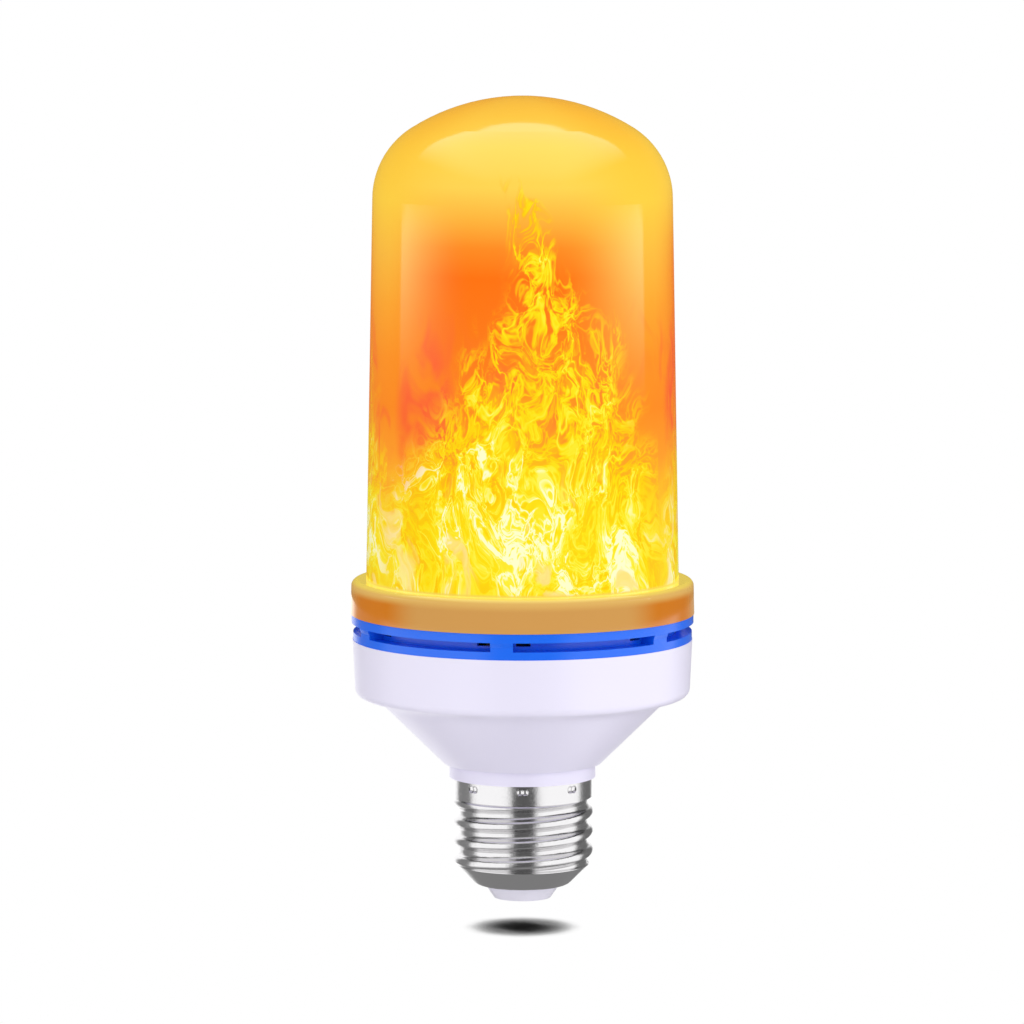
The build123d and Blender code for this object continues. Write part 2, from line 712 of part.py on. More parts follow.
lamp_pitch = (flex_head - flex_foot - 2 * lamp_margin) / (lamp_rows - 1)
lamp_turns = [radians(column * 360 / lamp_columns - 90) for column in range(lamp_columns)]
lamp_seats = [
    Plane(
        origin=(
            (flex_outer_radius + lamp_stand) * cos(turn),
            (flex_outer_radius + lamp_stand) * sin(turn),
            flex_foot + lamp_margin + row * lamp_pitch,
        ),
        x_dir=(-sin(turn), cos(turn), 0),
        z_dir=(cos(turn), sin(turn), 0),
    )
    for row in range(lamp_rows)
    for turn in lamp_turns
]
with BuildPart() as flame_leds:
    with Locations(*lamp_seats):
        add(lamp.part, clean=False)

# Crown board and its lamps
with BuildPart() as led_crown_board:
    with BuildSketch(Plane.XY.offset(carrier_top)):
        Circle(crown_board_radius)
        with PolarLocations(peg_offset, 2, 90):
            Circle(peg_radius + fit_gap, mode=Mode.SUBTRACT)
    extrude(amount=crown_board)

with BuildPart() as crown_leds:
    with Locations((0, 0, crown_top)):
        with PolarLocations(crown_lamp_offset, crown_lamp_count):
            add(lamp.part)


# Chips: a moulded body with gull-wing legs down two sides
def chip(length, width, height, legs):
    """Small-outline chip standing on z = 0, its legs along the sides that face +Y and -Y."""
    leg = height / 4
    with BuildPart(mode=Mode.PRIVATE) as body:
        with BuildSketch(Plane.XY.offset(height / 12)):
            Rectangle(length, width)
        extrude(amount=height * 11 / 12, taper=4)
        with Locations((-length / 2 + length / legs, -width / 4, height)):
            Hole(length / 12, depth=height / 12)
        for side in (1, -1):
            with Locations((0, side * width / 2, 0)):
                with GridLocations(length / legs, 0, legs, 1):
                    Box(leg, 2 * leg, leg, align=(Align.CENTER, Align.CENTER, Align.MIN))
                    with Locations((0, -side * leg / 2, 0)):
                        Box(leg, leg, height / 2, align=(Align.CENTER, Align.CENTER, Align.MIN))
    return body.part


controller_body = chip(controller_length, controller_width, controller_height, 8)
with BuildPart() as controller_chip:
    with Locations((0, 0, crown_top)):
        add(controller_body)

# Driver board: a round board on three posts
with BuildPart() as driver_pcb:
    with BuildSketch(Plane.XY.offset(driver_board_seat)):
        Circle(driver_board_radius)
        with PolarLocations(board_post_offset, screw_count, board_post_angle):
            Circle(board_screw_radius + part_gap, mode=Mode.SUBTRACT)
    extrude(amount=driver_board)


def can_capacitor(radius, height):
    """Electrolytic capacitor standing on z = 0, its sleeve necked by the rolled groove above the foot."""
    neck = 2.2 * capacitor_groove
    groove = height * 0.14
    with BuildPart(mode=Mode.PRIVATE) as can:
        with BuildSketch(Plane.XZ):
            with BuildLine():
                Polyline(
                    (0, 0),
                    (radius, 0),
                    (radius, groove - neck),
                    (radius - capacitor_groove, groove),
                    (radius, groove + neck),
                    (radius, height - capacitor_groove),
                    (radius - capacitor_groove, height),
                    (0, height),
                    close=True,
                )
            make_face()
        revolve(axis=Axis.Z)
        with BuildSketch(Plane.XY.offset(height)):
            Rectangle(1.4 * radius, capacitor_groove)
            Rectangle(capacitor_groove, 1.4 * radius)
        extrude(amount=-capacitor_groove / 2, mode=Mode.SUBTRACT)
    return can.part


board_underside = Plane(origin=(0, 0, driver_board_seat), x_dir=(1, 0, 0), z_dir=(0, 0, -1))
main_can = can_capacitor(main_capacitor_radius, main_capacitor_height)
with BuildPart() as smoothing_capacitor:
    with Locations(board_underside):
        with Locations((-main_capacitor_offset, 0)):
            add(main_can)

output_can = can_capacitor(output_capacitor_radius, output_capacitor_height)
with BuildPart() as output_capacitor:
    with Locations((-output_capacitor_offset, 0, driver_board_top)):
        add(output_can)

# Choke: a ferrite bobbin and the winding that fills it
choke_core_radius = choke_radius - choke_coil_depth
winding_radius = choke_radius - choke_coil_inset
with BuildPart() as choke_core:
    with BuildSketch(board_underside):
        with Locations((choke_offset, 0)):
            Circle(choke_radius)
    extrude(amount=choke_flange)
    with BuildSketch(board_underside.offset(choke_height - choke_flange)):
        with Locations((choke_offset, 0)):
            Circle(choke_radius)
    extrude(amount=choke_flange)
    with BuildSketch(board_underside.offset(choke_flange)):
        with Locations((choke_offset, 0)):
            Circle(choke_core_radius)
    extrude(amount=choke_height - 2 * choke_flange)

with BuildPart() as choke_winding:
    with BuildSketch(board_underside.offset(choke_flange)):
        with Locations((choke_offset, 0)):
            Circle(winding_radius)
            Circle(choke_core_radius, mode=Mode.SUBTRACT)
    extrude(amount=choke_height - 2 * choke_flange)

# Film capacitor, rectifier and converter chip
with BuildPart() as film_capacitor:
    with BuildSketch(board_underside):
        with Locations((0, -film_offset)):
            RectangleRounded(film_length, film_width, film_edge)
    extrude(amount=film_height)
    fillet(film_capacitor.edges().group_by(Axis.Z)[0], film_edge / 2)

rectifier_body = chip(rectifier_length, rectifier_width, rectifier_height, 2)
with BuildPart() as bridge_rectifier:
    with Locations(board_underside):
        with Locations((0, rectifier_offset)):
            add(rectifier_body)

converter_body = chip(converter_length, converter_width, converter_height, 4)
with BuildPart() as converter_chip:
    with Locations((0, converter_offset, driver_board_top)):
        add(converter_body)

# Fuse resistor: a barrel on bent leads, above the board
fuse_axis = driver_board_top + fuse_rise
with BuildPart() as fuse_resistor:
    with BuildLine() as fuse_path:
        FilletPolyline(
            (-fuse_lead_span / 2, -fuse_offset, driver_board_top),
            (-fuse_lead_span / 2, -fuse_offset, fuse_axis),
            (fuse_lead_span / 2, -fuse_offset, fuse_axis),
            (fuse_lead_span / 2, -fuse_offset, driver_board_top),
            radius=fuse_lead_bend,
        )
    with BuildSketch(Plane(origin=fuse_path.line @ 0, z_dir=fuse_path.line % 0)):
        Circle(fuse_lead_radius)
    sweep(path=fuse_path.line)
    with BuildSketch(Plane(origin=(0, -fuse_offset, fuse_axis), x_dir=(0, 1, 0), z_dir=(1, 0, 0))):
        Circle(fuse_radius)
    extrude(amount=fuse_length / 2, both=True)
    barrel_ends = fuse_resistor.edges().filter_by(GeomType.CIRCLE).filter_by(
        lambda edge: edge.radius > (fuse_radius + fuse_lead_radius) / 2
    )
    fillet(barrel_ends, fuse_lead_radius)


# Screws: pan heads with a cross slot
def pan_screw(shank_radius, length):
    """Self-tapping screw whose head sits on z = 0 and whose shank points down."""
    head_radius = shank_radius * screw_head_ratio
    with BuildPart(mode=Mode.PRIVATE) as screw:
        with BuildSketch(Plane.XY):
            Circle(head_radius)
        extrude(amount=screw_head_height)
        fillet(screw.edges().group_by(Axis.Z)[-1], screw_head_height / 2)
        with BuildSketch(Plane.XY.offset(screw_head_height)):
            Rectangle(1.3 * head_radius, screw_slot)
            Rectangle(screw_slot, 1.3 * head_radius)
        extrude(amount=-screw_head_height / 2, mode=Mode.SUBTRACT)
        with BuildSketch(Plane.XY):
            Circle(shank_radius)
        extrude(amount=-length)
        chamfer(screw.edges().group_by(Axis.Z)[0], shank_radius / 3)
    return screw.part


board_screw = pan_screw(board_screw_radius, driver_board + board_hole_depth - hole_end_gap)
with BuildPart() as board_screws:
    with Locations((0, 0, driver_board_top)):
        with PolarLocations(board_post_offset, screw_count, board_post_angle):
            add(board_screw)

carrier_screw = pan_screw(carrier_screw_radius, carrier_plate + carrier_hole_depth - hole_end_gap)
with BuildPart() as carrier_screws:
    with Locations((0, 0, carrier_plate_top)):
        with PolarLocations(screw_post_offset, screw_count, screw_post_angle):
            add(carrier_screw)


# Leads: insulated wires, each along straight runs joined by arcs
def lead(points, radii):
    """Round lead along the given route, with one arc radius for each corner."""
    with BuildPart(mode=Mode.PRIVATE) as wire:
        with BuildLine() as route:
            FilletPolyline(*points, radius=radii)
        with BuildSketch(Plane(origin=route.line @ 0, z_dir=route.line % 0)):
            Circle(lead_radius)
        sweep(path=route.line)
    return wire.part


# The live lead sways round the axis on its way down to the rivet
drop_level = driver_board_seat - lead_drop
live_wire = lead(
    [
        (0, 0, driver_board_seat),
        (0, 0, drop_level),
        (live_lead_sway, live_lead_sway / 2, (drop_level + shell_top) / 2),
        (-live_lead_sway / 2, live_lead_sway / 3, (shell_top + rivet_top) / 2),
        (0, 0, rivet_top + live_lead_rise),
        (0, 0, rivet_top),
    ],
    [live_lead_bend, live_lead_bend, live_lead_bend, live_lead_foot_bend],
)
with BuildPart() as live_lead:
    add(live_wire)

# The neutral lead goes down the stub's wall and out through its notch to the shell
notch_level = insulator_top + lead_notch_height / 2
stub_inside = stub_inner_radius - 2 * lead_radius
shell_inside = thread_root_radius + thread_root_land - shell_sheet
neutral_wire = lead(
    [
        (neutral_lead_x, neutral_lead_y, driver_board_seat),
        (neutral_lead_x, neutral_lead_y, drop_level),
        (0, -stub_inside, band_foot),
        (0, -stub_inside, notch_level),
        (0, -(shell_inside - fit_gap), notch_level),
    ],
    [neutral_lead_bend, neutral_lead_bend, neutral_lead_foot_bend],
)
with BuildPart() as neutral_lead:
    add(neutral_wire)

lead_rest = flex_outer_radius + lead_radius + fit_gap
for lead_name, side in (("supply_lead_positive", 1), ("supply_lead_negative", -1)):
    across = side * supply_lead_spacing / 2
    rest_x = (lead_rest**2 - across**2) ** 0.5
    supply_wire = lead(
        [
            (supply_lead_start, across, driver_board_top),
            (supply_lead_start, across, driver_board_top + supply_lead_drop),
            (supply_lead_offset, across, carrier_seat - supply_lead_drop),
            (supply_lead_offset, across, flex_foot - supply_lead_rise),
            (rest_x, across, flex_foot + lead_radius),
            (rest_x, across, flex_foot + supply_lead_overlap),
        ],
        [supply_lead_bend] * 4,
    )
    with BuildPart() as supply_lead:
        add(supply_wire)
    supply_lead.part.label = lead_name
    export_step(supply_lead.part, f"parts/{lead_name}.step")

diffuser_cover.part.label = "diffuser_cover"
export_step(diffuser_cover.part, "parts/diffuser_cover.step")
vent_ring.part.label = "vent_ring"
export_step(vent_ring.part, "parts/vent_ring.step")
base_housing.part.label = "base_housing"
export_step(base_housing.part, "parts/base_housing.step")
screw_shell.part.label = "screw_shell"
export_step(screw_shell.part, "parts/screw_shell.step")
cap_insulator.part.label = "cap_insulator"
export_step(cap_insulator.part, "parts/cap_insulator.step")
end_contact.part.label = "end_contact"
export_step(end_contact.part, "parts/end_contact.step")
led_carrier.part.label = "led_carrier"
export_step(led_carrier.part, "parts/led_carrier.step")
led_flex_board.part.label = "led_flex_board"
export_step(led_flex_board.part, "parts/led_flex_board.step")
flame_leds.part.label = "flame_leds"
export_step(flame_leds.part, "parts/flame_leds.step")
led_crown_board.part.label = "led_crown_board"
export_step(led_crown_board.part, "parts/led_crown_board.step")
crown_leds.part.label = "crown_leds"
export_step(crown_leds.part, "parts/crown_leds.step")
controller_chip.part.label = "controller_chip"
export_step(controller_chip.part, "parts/controller_chip.step")
driver_pcb.part.label = "driver_board"
export_step(driver_pcb.part, "parts/driver_board.step")
smoothing_capacitor.part.label = "smoothing_capacitor"
export_step(smoothing_capacitor.part, "parts/smoothing_capacitor.step")
output_capacitor.part.label = "output_capacitor"
export_step(output_capacitor.part, "parts/output_capacitor.step")
choke_core.part.label = "choke_core"
export_step(choke_core.part, "parts/choke_core.step")
choke_winding.part.label = "choke_winding"
export_step(choke_winding.part, "parts/choke_winding.step")
film_capacitor.part.label = "film_capacitor"
export_step(film_capacitor.part, "parts/film_capacitor.step")
bridge_rectifier.part.label = "bridge_rectifier"
export_step(bridge_rectifier.part, "parts/bridge_rectifier.step")
converter_chip.part.label = "converter_chip"
export_step(converter_chip.part, "parts/converter_chip.step")
fuse_resistor.part.label = "fuse_resistor"
export_step(fuse_resistor.part, "parts/fuse_resistor.step")
board_screws.part.label = "board_screws"
export_step(board_screws.part, "parts/board_screws.step")
carrier_screws.part.label = "carrier_screws"
export_step(carrier_screws.part, "parts/carrier_screws.step")
live_lead.part.label = "live_lead"
export_step(live_lead.part, "parts/live_lead.step")
neutral_lead.part.label = "neutral_lead"
export_step(neutral_lead.part, "parts/neutral_lead.step")
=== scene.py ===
import math

import bpy
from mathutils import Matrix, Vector


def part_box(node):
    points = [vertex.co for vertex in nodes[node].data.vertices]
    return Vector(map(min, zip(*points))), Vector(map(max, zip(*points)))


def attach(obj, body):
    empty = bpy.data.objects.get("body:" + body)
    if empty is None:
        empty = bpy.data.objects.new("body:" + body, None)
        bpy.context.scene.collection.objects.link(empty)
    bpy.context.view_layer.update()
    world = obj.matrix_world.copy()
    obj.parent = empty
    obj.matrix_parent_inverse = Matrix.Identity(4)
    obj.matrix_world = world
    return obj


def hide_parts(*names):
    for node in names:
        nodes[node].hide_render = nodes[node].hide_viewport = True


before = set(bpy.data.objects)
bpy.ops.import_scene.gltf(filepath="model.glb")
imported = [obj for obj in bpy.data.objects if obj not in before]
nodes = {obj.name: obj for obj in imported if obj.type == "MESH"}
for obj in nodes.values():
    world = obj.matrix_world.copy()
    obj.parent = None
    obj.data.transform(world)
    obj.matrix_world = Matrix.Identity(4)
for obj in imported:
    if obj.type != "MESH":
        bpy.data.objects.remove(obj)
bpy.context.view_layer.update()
scene = bpy.context.scene

MM = 1000.0  # millimetres in a metre


def span(node):
    """Lowest and highest corner of a CAD node, in millimetres."""
    low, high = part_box(node)
    return low * MM, high * MM


# Settings that many nodes share. A map range takes its value at input 0, and rises from 0 at the
# value of input 1 to 1 at that of input 2. A colour mix has its factor at input 0 and its two
# colours at 6 and 7.
SMOOTH = {"interpolation_type": "SMOOTHSTEP"}
COLOUR_MIX = {"data_type": "RGBA", "output": 2}


def linear(code):
    """Linear RGBA of an sRGB hex colour such as 0AC6FF."""
    channels = [int(code[i:i + 2], 16) / 255 for i in (0, 2, 4)]
    return [c / 12.92 if c <= 0.04045 else ((c + 0.055) / 1.055) ** 2.4 for c in channels] + [1.0]


def add_node(tree, kind, inputs=None, output=0, **settings):
    """Adds a node with its settings and links. Gives one of its outputs, or the node where output is None.

    Each input is a socket to link from or a plain value.
    """
    node = tree.nodes.new(kind)
    for name, value in settings.items():
        setattr(node, name, value)
    for key, value in (inputs or {}).items():
        if isinstance(value, bpy.types.NodeSocket):
            tree.links.new(value, node.inputs[key])
        else:
            node.inputs[key].default_value = value
    return node if output is None else node.outputs[output]


def set_ramp(node, stops, interpolation="LINEAR"):
    """Gives a colour ramp its stops, each a place and an sRGB hex colour."""
    node.color_ramp.interpolation = interpolation
    elements = node.color_ramp.elements
    while len(elements) > 1:
        elements.remove(elements[-1])
    elements[0].position, elements[0].color = stops[0][0], linear(stops[0][1])
    for place, code in stops[1:]:
        elements.new(place).color = linear(code)
    return node.outputs["Color"]


def set_curve(node, points):
    """Gives a float curve its points."""
    curve = node.mapping.curves[0]
    curve.points[0].location, curve.points[1].location = points[0], points[-1]
    for point in points[1:-1]:
        curve.points.new(*point)
    node.mapping.update()
    return node.outputs[0]


def new_material(name, **values):
    """A material whose Principled shader holds the given plain values."""
    material = bpy.data.materials.new(name)
    material.use_nodes = True
    shader = material.node_tree.nodes["Principled BSDF"]
    for key, value in values.items():
        shader.inputs[key.replace("_", " ")].default_value = value
    return material


def places(tree):
    """Object coordinates in millimetres: the vector and its three axes."""
    place = add_node(tree, "ShaderNodeTexCoord", output="Object")
    mm = add_node(tree, "ShaderNodeVectorMath", {0: place, "Scale": MM}, operation="SCALE")
    return mm, add_node(tree, "ShaderNodeSeparateXYZ", {0: mm}, output=None).outputs


def turn_from_front(tree, axes):
    """Radians round the bulb's axis from the photo's camera towards its right."""
    front = add_node(tree, "ShaderNodeMath", {0: axes["Y"], 1: -1.0}, operation="MULTIPLY")
    return add_node(tree, "ShaderNodeMath", {0: axes["X"], 1: front}, operation="ARCTAN2")


def raise_face(material, height, distance):
    """Lets a height pattern stand out of the face by up to distance millimetres."""
    tree = material.node_tree
    bump = add_node(tree, "ShaderNodeBump", {"Height": height, "Distance": distance / MM, "Strength": 1.0})
    tree.links.new(bump, tree.nodes["Principled BSDF"].inputs["Normal"])


def moulded(name, colour, roughness, grain=0.0, grain_size=0.4):
    """Moulded plastic in one colour, with a grain of the given height and size on its face.

    A real grain is too fine to show, so it is drawn as coarse as it needs to be seen.
    """
    material = new_material(name, Base_Color=linear(colour), Roughness=roughness, IOR=1.5)
    if grain:
        tree = material.node_tree
        mm, _ = places(tree)
        face = add_node(tree, "ShaderNodeTexNoise", {"Vector": mm, "Scale": 1 / grain_size, "Detail": 2.0})
        raise_face(material, face, grain)
    return material


# Frosted cover: moulded polycarbonate. The flame pattern is both its colour and its glow, so
# it shows a lit bulb under any light; the face itself is smooth and mirrors the studio's cards.
def flame_cover_material():
    """Cover material; levels are in millimetres above the end contact."""
    material = new_material("frosted polycarbonate lit by a flame pattern", Roughness=0.1, IOR=1.5)
    tree = material.node_tree
    shader = tree.nodes["Principled BSDF"]
    shader.inputs["Emission Strength"].default_value = 0.61
    mm, axes = places(tree)
    level = axes["Z"]
    foot_level, tip_level, dome_level = 60.0, 136.0, 150.0
    globe_radius = 29.0

    # The flame's outline comes three times round the bulb; across is millimetres along the circumference
    turn = turn_from_front(tree, axes)
    sector = add_node(tree, "ShaderNodeMath", {0: turn, 1: math.pi / 3, 2: -math.pi / 3}, operation="WRAP")
    across = add_node(tree, "ShaderNodeMath", {0: sector, 1: globe_radius}, operation="MULTIPLY")

    def pulled(place, size, reach, shift):
        """Pull of a noise of the given size, and the place moved by it over the given reach."""
        shifted = add_node(tree, "ShaderNodeVectorMath", {0: place, 1: shift}, operation="ADD")
        waves = {"Vector": shifted, "Scale": 1 / size, "Detail": 2.0}
        colour = add_node(tree, "ShaderNodeTexNoise", waves, output="Color")
        pull = add_node(tree, "ShaderNodeVectorMath", {0: colour, 1: (0.5, 0.5, 0.5)}, operation="SUBTRACT")
        moving = {0: pull, 1: reach, 2: place}
        return pull, add_node(tree, "ShaderNodeVectorMath", moving, operation="MULTIPLY_ADD")

    def patches(place, size, start, end, detail=2.0, roughness=0.5):
        """Soft patches where a noise of the given size rises from start to end."""
        waves = {"Vector": place, "Scale": 1 / size, "Detail": detail, "Roughness": roughness}
        wave = add_node(tree, "ShaderNodeTexNoise", waves)
        return add_node(tree, "ShaderNodeMapRange", {0: wave, 1: start, 2: end}, **SMOOTH)

    def strands(place, size, width, shift):
        """Thin bright lines where a noise of the given size crosses its middle value."""
        shifted = add_node(tree, "ShaderNodeVectorMath", {0: place, 1: shift}, operation="ADD")
        waves = {"Vector": shifted, "Scale": 1 / size, "Detail": 4.0, "Roughness": 0.55}
        wave = add_node(tree, "ShaderNodeTexNoise", waves)
        offset = add_node(tree, "ShaderNodeMath", {0: wave, 1: 0.5}, operation="SUBTRACT")
        away = add_node(tree, "ShaderNodeMath", {0: offset}, operation="ABSOLUTE")
        return add_node(tree, "ShaderNodeMapRange", {0: away, 1: width, 2: 0.0}, **SMOOTH)

    def squared_share(value, middle, half_width):
        """Square of how many half widths the value lies from the middle."""
        offset = add_node(tree, "ShaderNodeMath", {0: value, 1: middle}, operation="SUBTRACT")
        share = add_node(tree, "ShaderNodeMath", {0: offset, 1: half_width}, operation="DIVIDE")
        return add_node(tree, "ShaderNodeMath", {0: share, 1: share}, operation="MULTIPLY")

    # Turbulence: a coarse, a middle and a fine noise pull the place about, taller than wide
    tall = add_node(tree, "ShaderNodeVectorMath", {0: mm, 1: (1.0, 1.0, 0.55)}, operation="MULTIPLY")
    _, coarse_place = pulled(tall, 16.0, (26.0, 26.0, 20.0), (3.0, 0.0, 7.0))
    middle_pull, middle_place = pulled(coarse_place, 7.0, (12.0, 12.0, 10.0), (21.0, 5.0, 0.0))
    _, flow = pulled(middle_place, 2.8, (3.4, 3.4, 3.0), (0.0, 11.0, 31.0))

    # Glow behind the flame: yellow dome, red orange middle, yellow foot, paler at the sides
    rise = add_node(tree, "ShaderNodeMapRange", {0: level, 1: foot_level, 2: dome_level})
    middle = set_ramp(
        add_node(tree, "ShaderNodeValToRGB", {"Fac": rise}, output=None),
        [
            (0.0, "FADC48"),
            (0.1, "FBDA18"),
            (0.24, "FDB024"),
            (0.36, "FB8A20"),
            (0.5, "F97A1A"),
            (0.64, "FB7210"),
            (0.7, "FC8A22"),
            (0.76, "FCB43C"),
            (0.82, "FCD050"),
            (0.9, "FCD24A"),
            (1.0, "FABA38"),
        ],
    )
    side = set_ramp(
        add_node(tree, "ShaderNodeValToRGB", {"Fac": rise}, output=None),
        [
            (0.0, "F8DA30"),
            (0.08, "F9D620"),
            (0.17, "FBC22C"),
            (0.27, "FC9C2A"),
            (0.37, "FB8A20"),
            (0.47, "FC9224"),
            (0.58, "FCA630"),
            (0.68, "FBBA3E"),
            (0.79, "FDCE42"),
            (0.88, "FCC83C"),
            (1.0, "FBB432"),
        ],
    )
    from_middle = add_node(tree, "ShaderNodeMath", {0: across, 1: 3.0}, operation="ADD")
    from_middle = add_node(tree, "ShaderNodeMath", {0: from_middle}, operation="ABSOLUTE")
    aside = add_node(tree, "ShaderNodeMapRange", {0: from_middle, 1: 9.0, 2: 29.0}, **SMOOTH)
    glow = add_node(tree, "ShaderNodeMix", {0: aside, 6: middle, 7: side}, **COLOUR_MIX)

    # Embers: red patches low on the flame's left, and fainter ones here and there inside it
    ember_x, ember_z = squared_share(across, -20.0, 8.0), squared_share(level, 92.0, 20.0)
    ember_reach = add_node(tree, "ShaderNodeMath", {0: ember_x, 1: ember_z}, operation="ADD")
    left_ember = add_node(tree, "ShaderNodeMapRange", {0: ember_reach, 1: 1.1, 2: 0.2}, **SMOOTH)
    torn = patches(middle_place, 7.0, 0.35, 0.6)
    left_ember = add_node(tree, "ShaderNodeMath", {0: torn, 1: left_ember}, operation="MULTIPLY")
    above_foot = add_node(tree, "ShaderNodeMapRange", {0: level, 1: 74.0, 2: 84.0}, **SMOOTH)
    below_head = add_node(tree, "ShaderNodeMapRange", {0: level, 1: 116.0, 2: 98.0}, **SMOOTH)
    ember_band = add_node(tree, "ShaderNodeMath", {0: above_foot, 1: below_head}, operation="MULTIPLY")
    patch = patches(middle_place, 12.0, 0.5, 0.64)
    embers = add_node(tree, "ShaderNodeMath", {0: patch, 1: ember_band}, operation="MULTIPLY")
    embers = add_node(tree, "ShaderNodeMath", {0: embers, 1: 0.6}, operation="MULTIPLY")
    embers = add_node(tree, "ShaderNodeMath", {0: embers, 1: left_ember}, operation="MAXIMUM")
    glow = add_node(tree, "ShaderNodeMix", {0: embers, 6: glow, 7: linear("FA6432")}, **COLOUR_MIX)

    # Flame body: full width at the foot, a thin leaning tongue at the tip
    climb = add_node(tree, "ShaderNodeMapRange", {0: level, 1: foot_level, 2: tip_level})
    half = set_curve(
        add_node(tree, "ShaderNodeFloatCurve", {"Value": climb}, output=None),
        [
            (0.0, 1.0),
            (0.26, 0.95),
            (0.4, 0.68),
            (0.55, 0.52),
            (0.68, 0.32),
            (0.8, 0.18),
            (0.92, 0.09),
            (1.0, 0.02),
        ],
    )
    centre = set_curve(
        add_node(tree, "ShaderNodeFloatCurve", {"Value": climb}, output=None),
        [(0.0, 0.5), (0.3, 0.56), (0.55, 0.61), (0.72, 0.63), (0.86, 0.53), (1.0, 0.42)],
    )
    sway = add_node(tree, "ShaderNodeSeparateXYZ", {0: middle_pull}, output="X")
    swayed = add_node(tree, "ShaderNodeMath", {0: sway, 1: 14.0, 2: across}, operation="MULTIPLY_ADD")
    lean = add_node(tree, "ShaderNodeMath", {0: centre, 1: 40.0, 2: -20.0}, operation="MULTIPLY_ADD")
    offset = add_node(tree, "ShaderNodeMath", {0: swayed, 1: lean}, operation="SUBTRACT")
    offset = add_node(tree, "ShaderNodeMath", {0: offset}, operation="ABSOLUTE")
    half_width = add_node(tree, "ShaderNodeMath", {0: half, 1: 35.0}, operation="MULTIPLY")
    share = add_node(tree, "ShaderNodeMath", {0: offset, 1: half_width}, operation="DIVIDE")
    sides = add_node(tree, "ShaderNodeMapRange", {0: share, 1: 1.1, 2: 0.55}, **SMOOTH)
    tip = add_node(tree, "ShaderNodeMapRange", {0: level, 1: 137.0, 2: 130.0}, **SMOOTH)
    body = add_node(tree, "ShaderNodeMath", {0: sides, 1: tip}, operation="MULTIPLY")

    # Fire inside it: four layers of strands, then folded sheets, a veil and livelier patches
    fire = strands(middle_place, 11.0, 0.035, (0.0, 0.0, 0.0))
    for place, size, width, shift, weight in (
        (flow, 7.0, 0.045, (40.0, 0.0, 9.0), 0.8),
        (middle_place, 5.0, 0.04, (13.0, 60.0, 0.0), 0.7),
        (flow, 3.0, 0.05, (50.0, 20.0, 70.0), 0.45),
    ):
        layer = strands(place, size, width, shift)
        layer = add_node(tree, "ShaderNodeMath", {0: layer, 1: weight}, operation="MULTIPLY")
        fire = add_node(tree, "ShaderNodeMath", {0: fire, 1: layer}, operation="MAXIMUM")
    fold = add_node(tree, "ShaderNodeTexNoise", {"Vector": flow, "Scale": 1 / 14.0, "Detail": 3.0})
    fold = add_node(tree, "ShaderNodeMath", {0: fold, 1: 9.0}, operation="MULTIPLY")
    fold = add_node(tree, "ShaderNodeMath", {0: fold}, operation="FRACT")
    sheet = add_node(tree, "ShaderNodeMath", {0: fold, 1: 3.0}, operation="POWER")
    veil = patches(flow, 8.0, 0.35, 0.7, 4.0, 0.6)
    lively = patches(middle_place, 9.0, 0.3, 0.62, 1.0)
    lively = add_node(tree, "ShaderNodeMath", {0: lively, 1: 0.6, 2: 0.4}, operation="MULTIPLY_ADD")
    fire = add_node(tree, "ShaderNodeMath", {0: fire, 1: 0.6}, operation="MULTIPLY")
    fire = add_node(tree, "ShaderNodeMath", {0: sheet, 1: 0.13, 2: fire}, operation="MULTIPLY_ADD")
    fire = add_node(tree, "ShaderNodeMath", {0: veil, 1: 0.34, 2: fire}, operation="MULTIPLY_ADD")
    fire = add_node(tree, "ShaderNodeMath", {0: fire, 1: lively}, operation="MULTIPLY")

    # Heat picks the colour: more of it low down and along the flame's core
    low_down = add_node(tree, "ShaderNodeMapRange", {0: level, 1: 98.0, 2: 66.0}, **SMOOTH)
    near_core = add_node(tree, "ShaderNodeMapRange", {0: share, 1: 0.8, 2: 0.1}, **SMOOTH)
    core_level = add_node(tree, "ShaderNodeMapRange", {0: level, 1: 122.0, 2: 90.0}, **SMOOTH)
    core = add_node(tree, "ShaderNodeMath", {0: near_core, 1: core_level}, operation="MULTIPLY")
    heat = add_node(tree, "ShaderNodeMath", {0: fire, 1: 0.95}, operation="MULTIPLY")
    heat = add_node(tree, "ShaderNodeMath", {0: low_down, 1: 0.36, 2: heat}, operation="MULTIPLY_ADD")
    heat = add_node(tree, "ShaderNodeMath", {0: core, 1: 0.16, 2: heat}, operation="MULTIPLY_ADD")
    colours = set_ramp(
        add_node(tree, "ShaderNodeValToRGB", {"Fac": heat}, output=None),
        [
            (0.0, "F98E22"),
            (0.25, "FAA81C"),
            (0.45, "FBC80C"),
            (0.62, "FBDE12"),
            (0.8, "FBEC3C"),
            (0.92, "FBF488"),
            (1.0, "FCFAC8"),
        ],
    )
    thick = add_node(tree, "ShaderNodeMath", {0: low_down, 1: 0.5, 2: fire}, operation="MULTIPLY_ADD")
    thick = add_node(tree, "ShaderNodeMath", {0: core, 1: 0.16, 2: thick}, operation="MULTIPLY_ADD")
    thick = add_node(tree, "ShaderNodeMapRange", {0: thick, 1: 0.06, 2: 0.5}, **SMOOTH)
    cover = add_node(tree, "ShaderNodeMath", {0: body, 1: thick}, operation="MULTIPLY")
    flame = add_node(tree, "ShaderNodeMix", {0: cover, 6: glow, 7: colours}, **COLOUR_MIX)

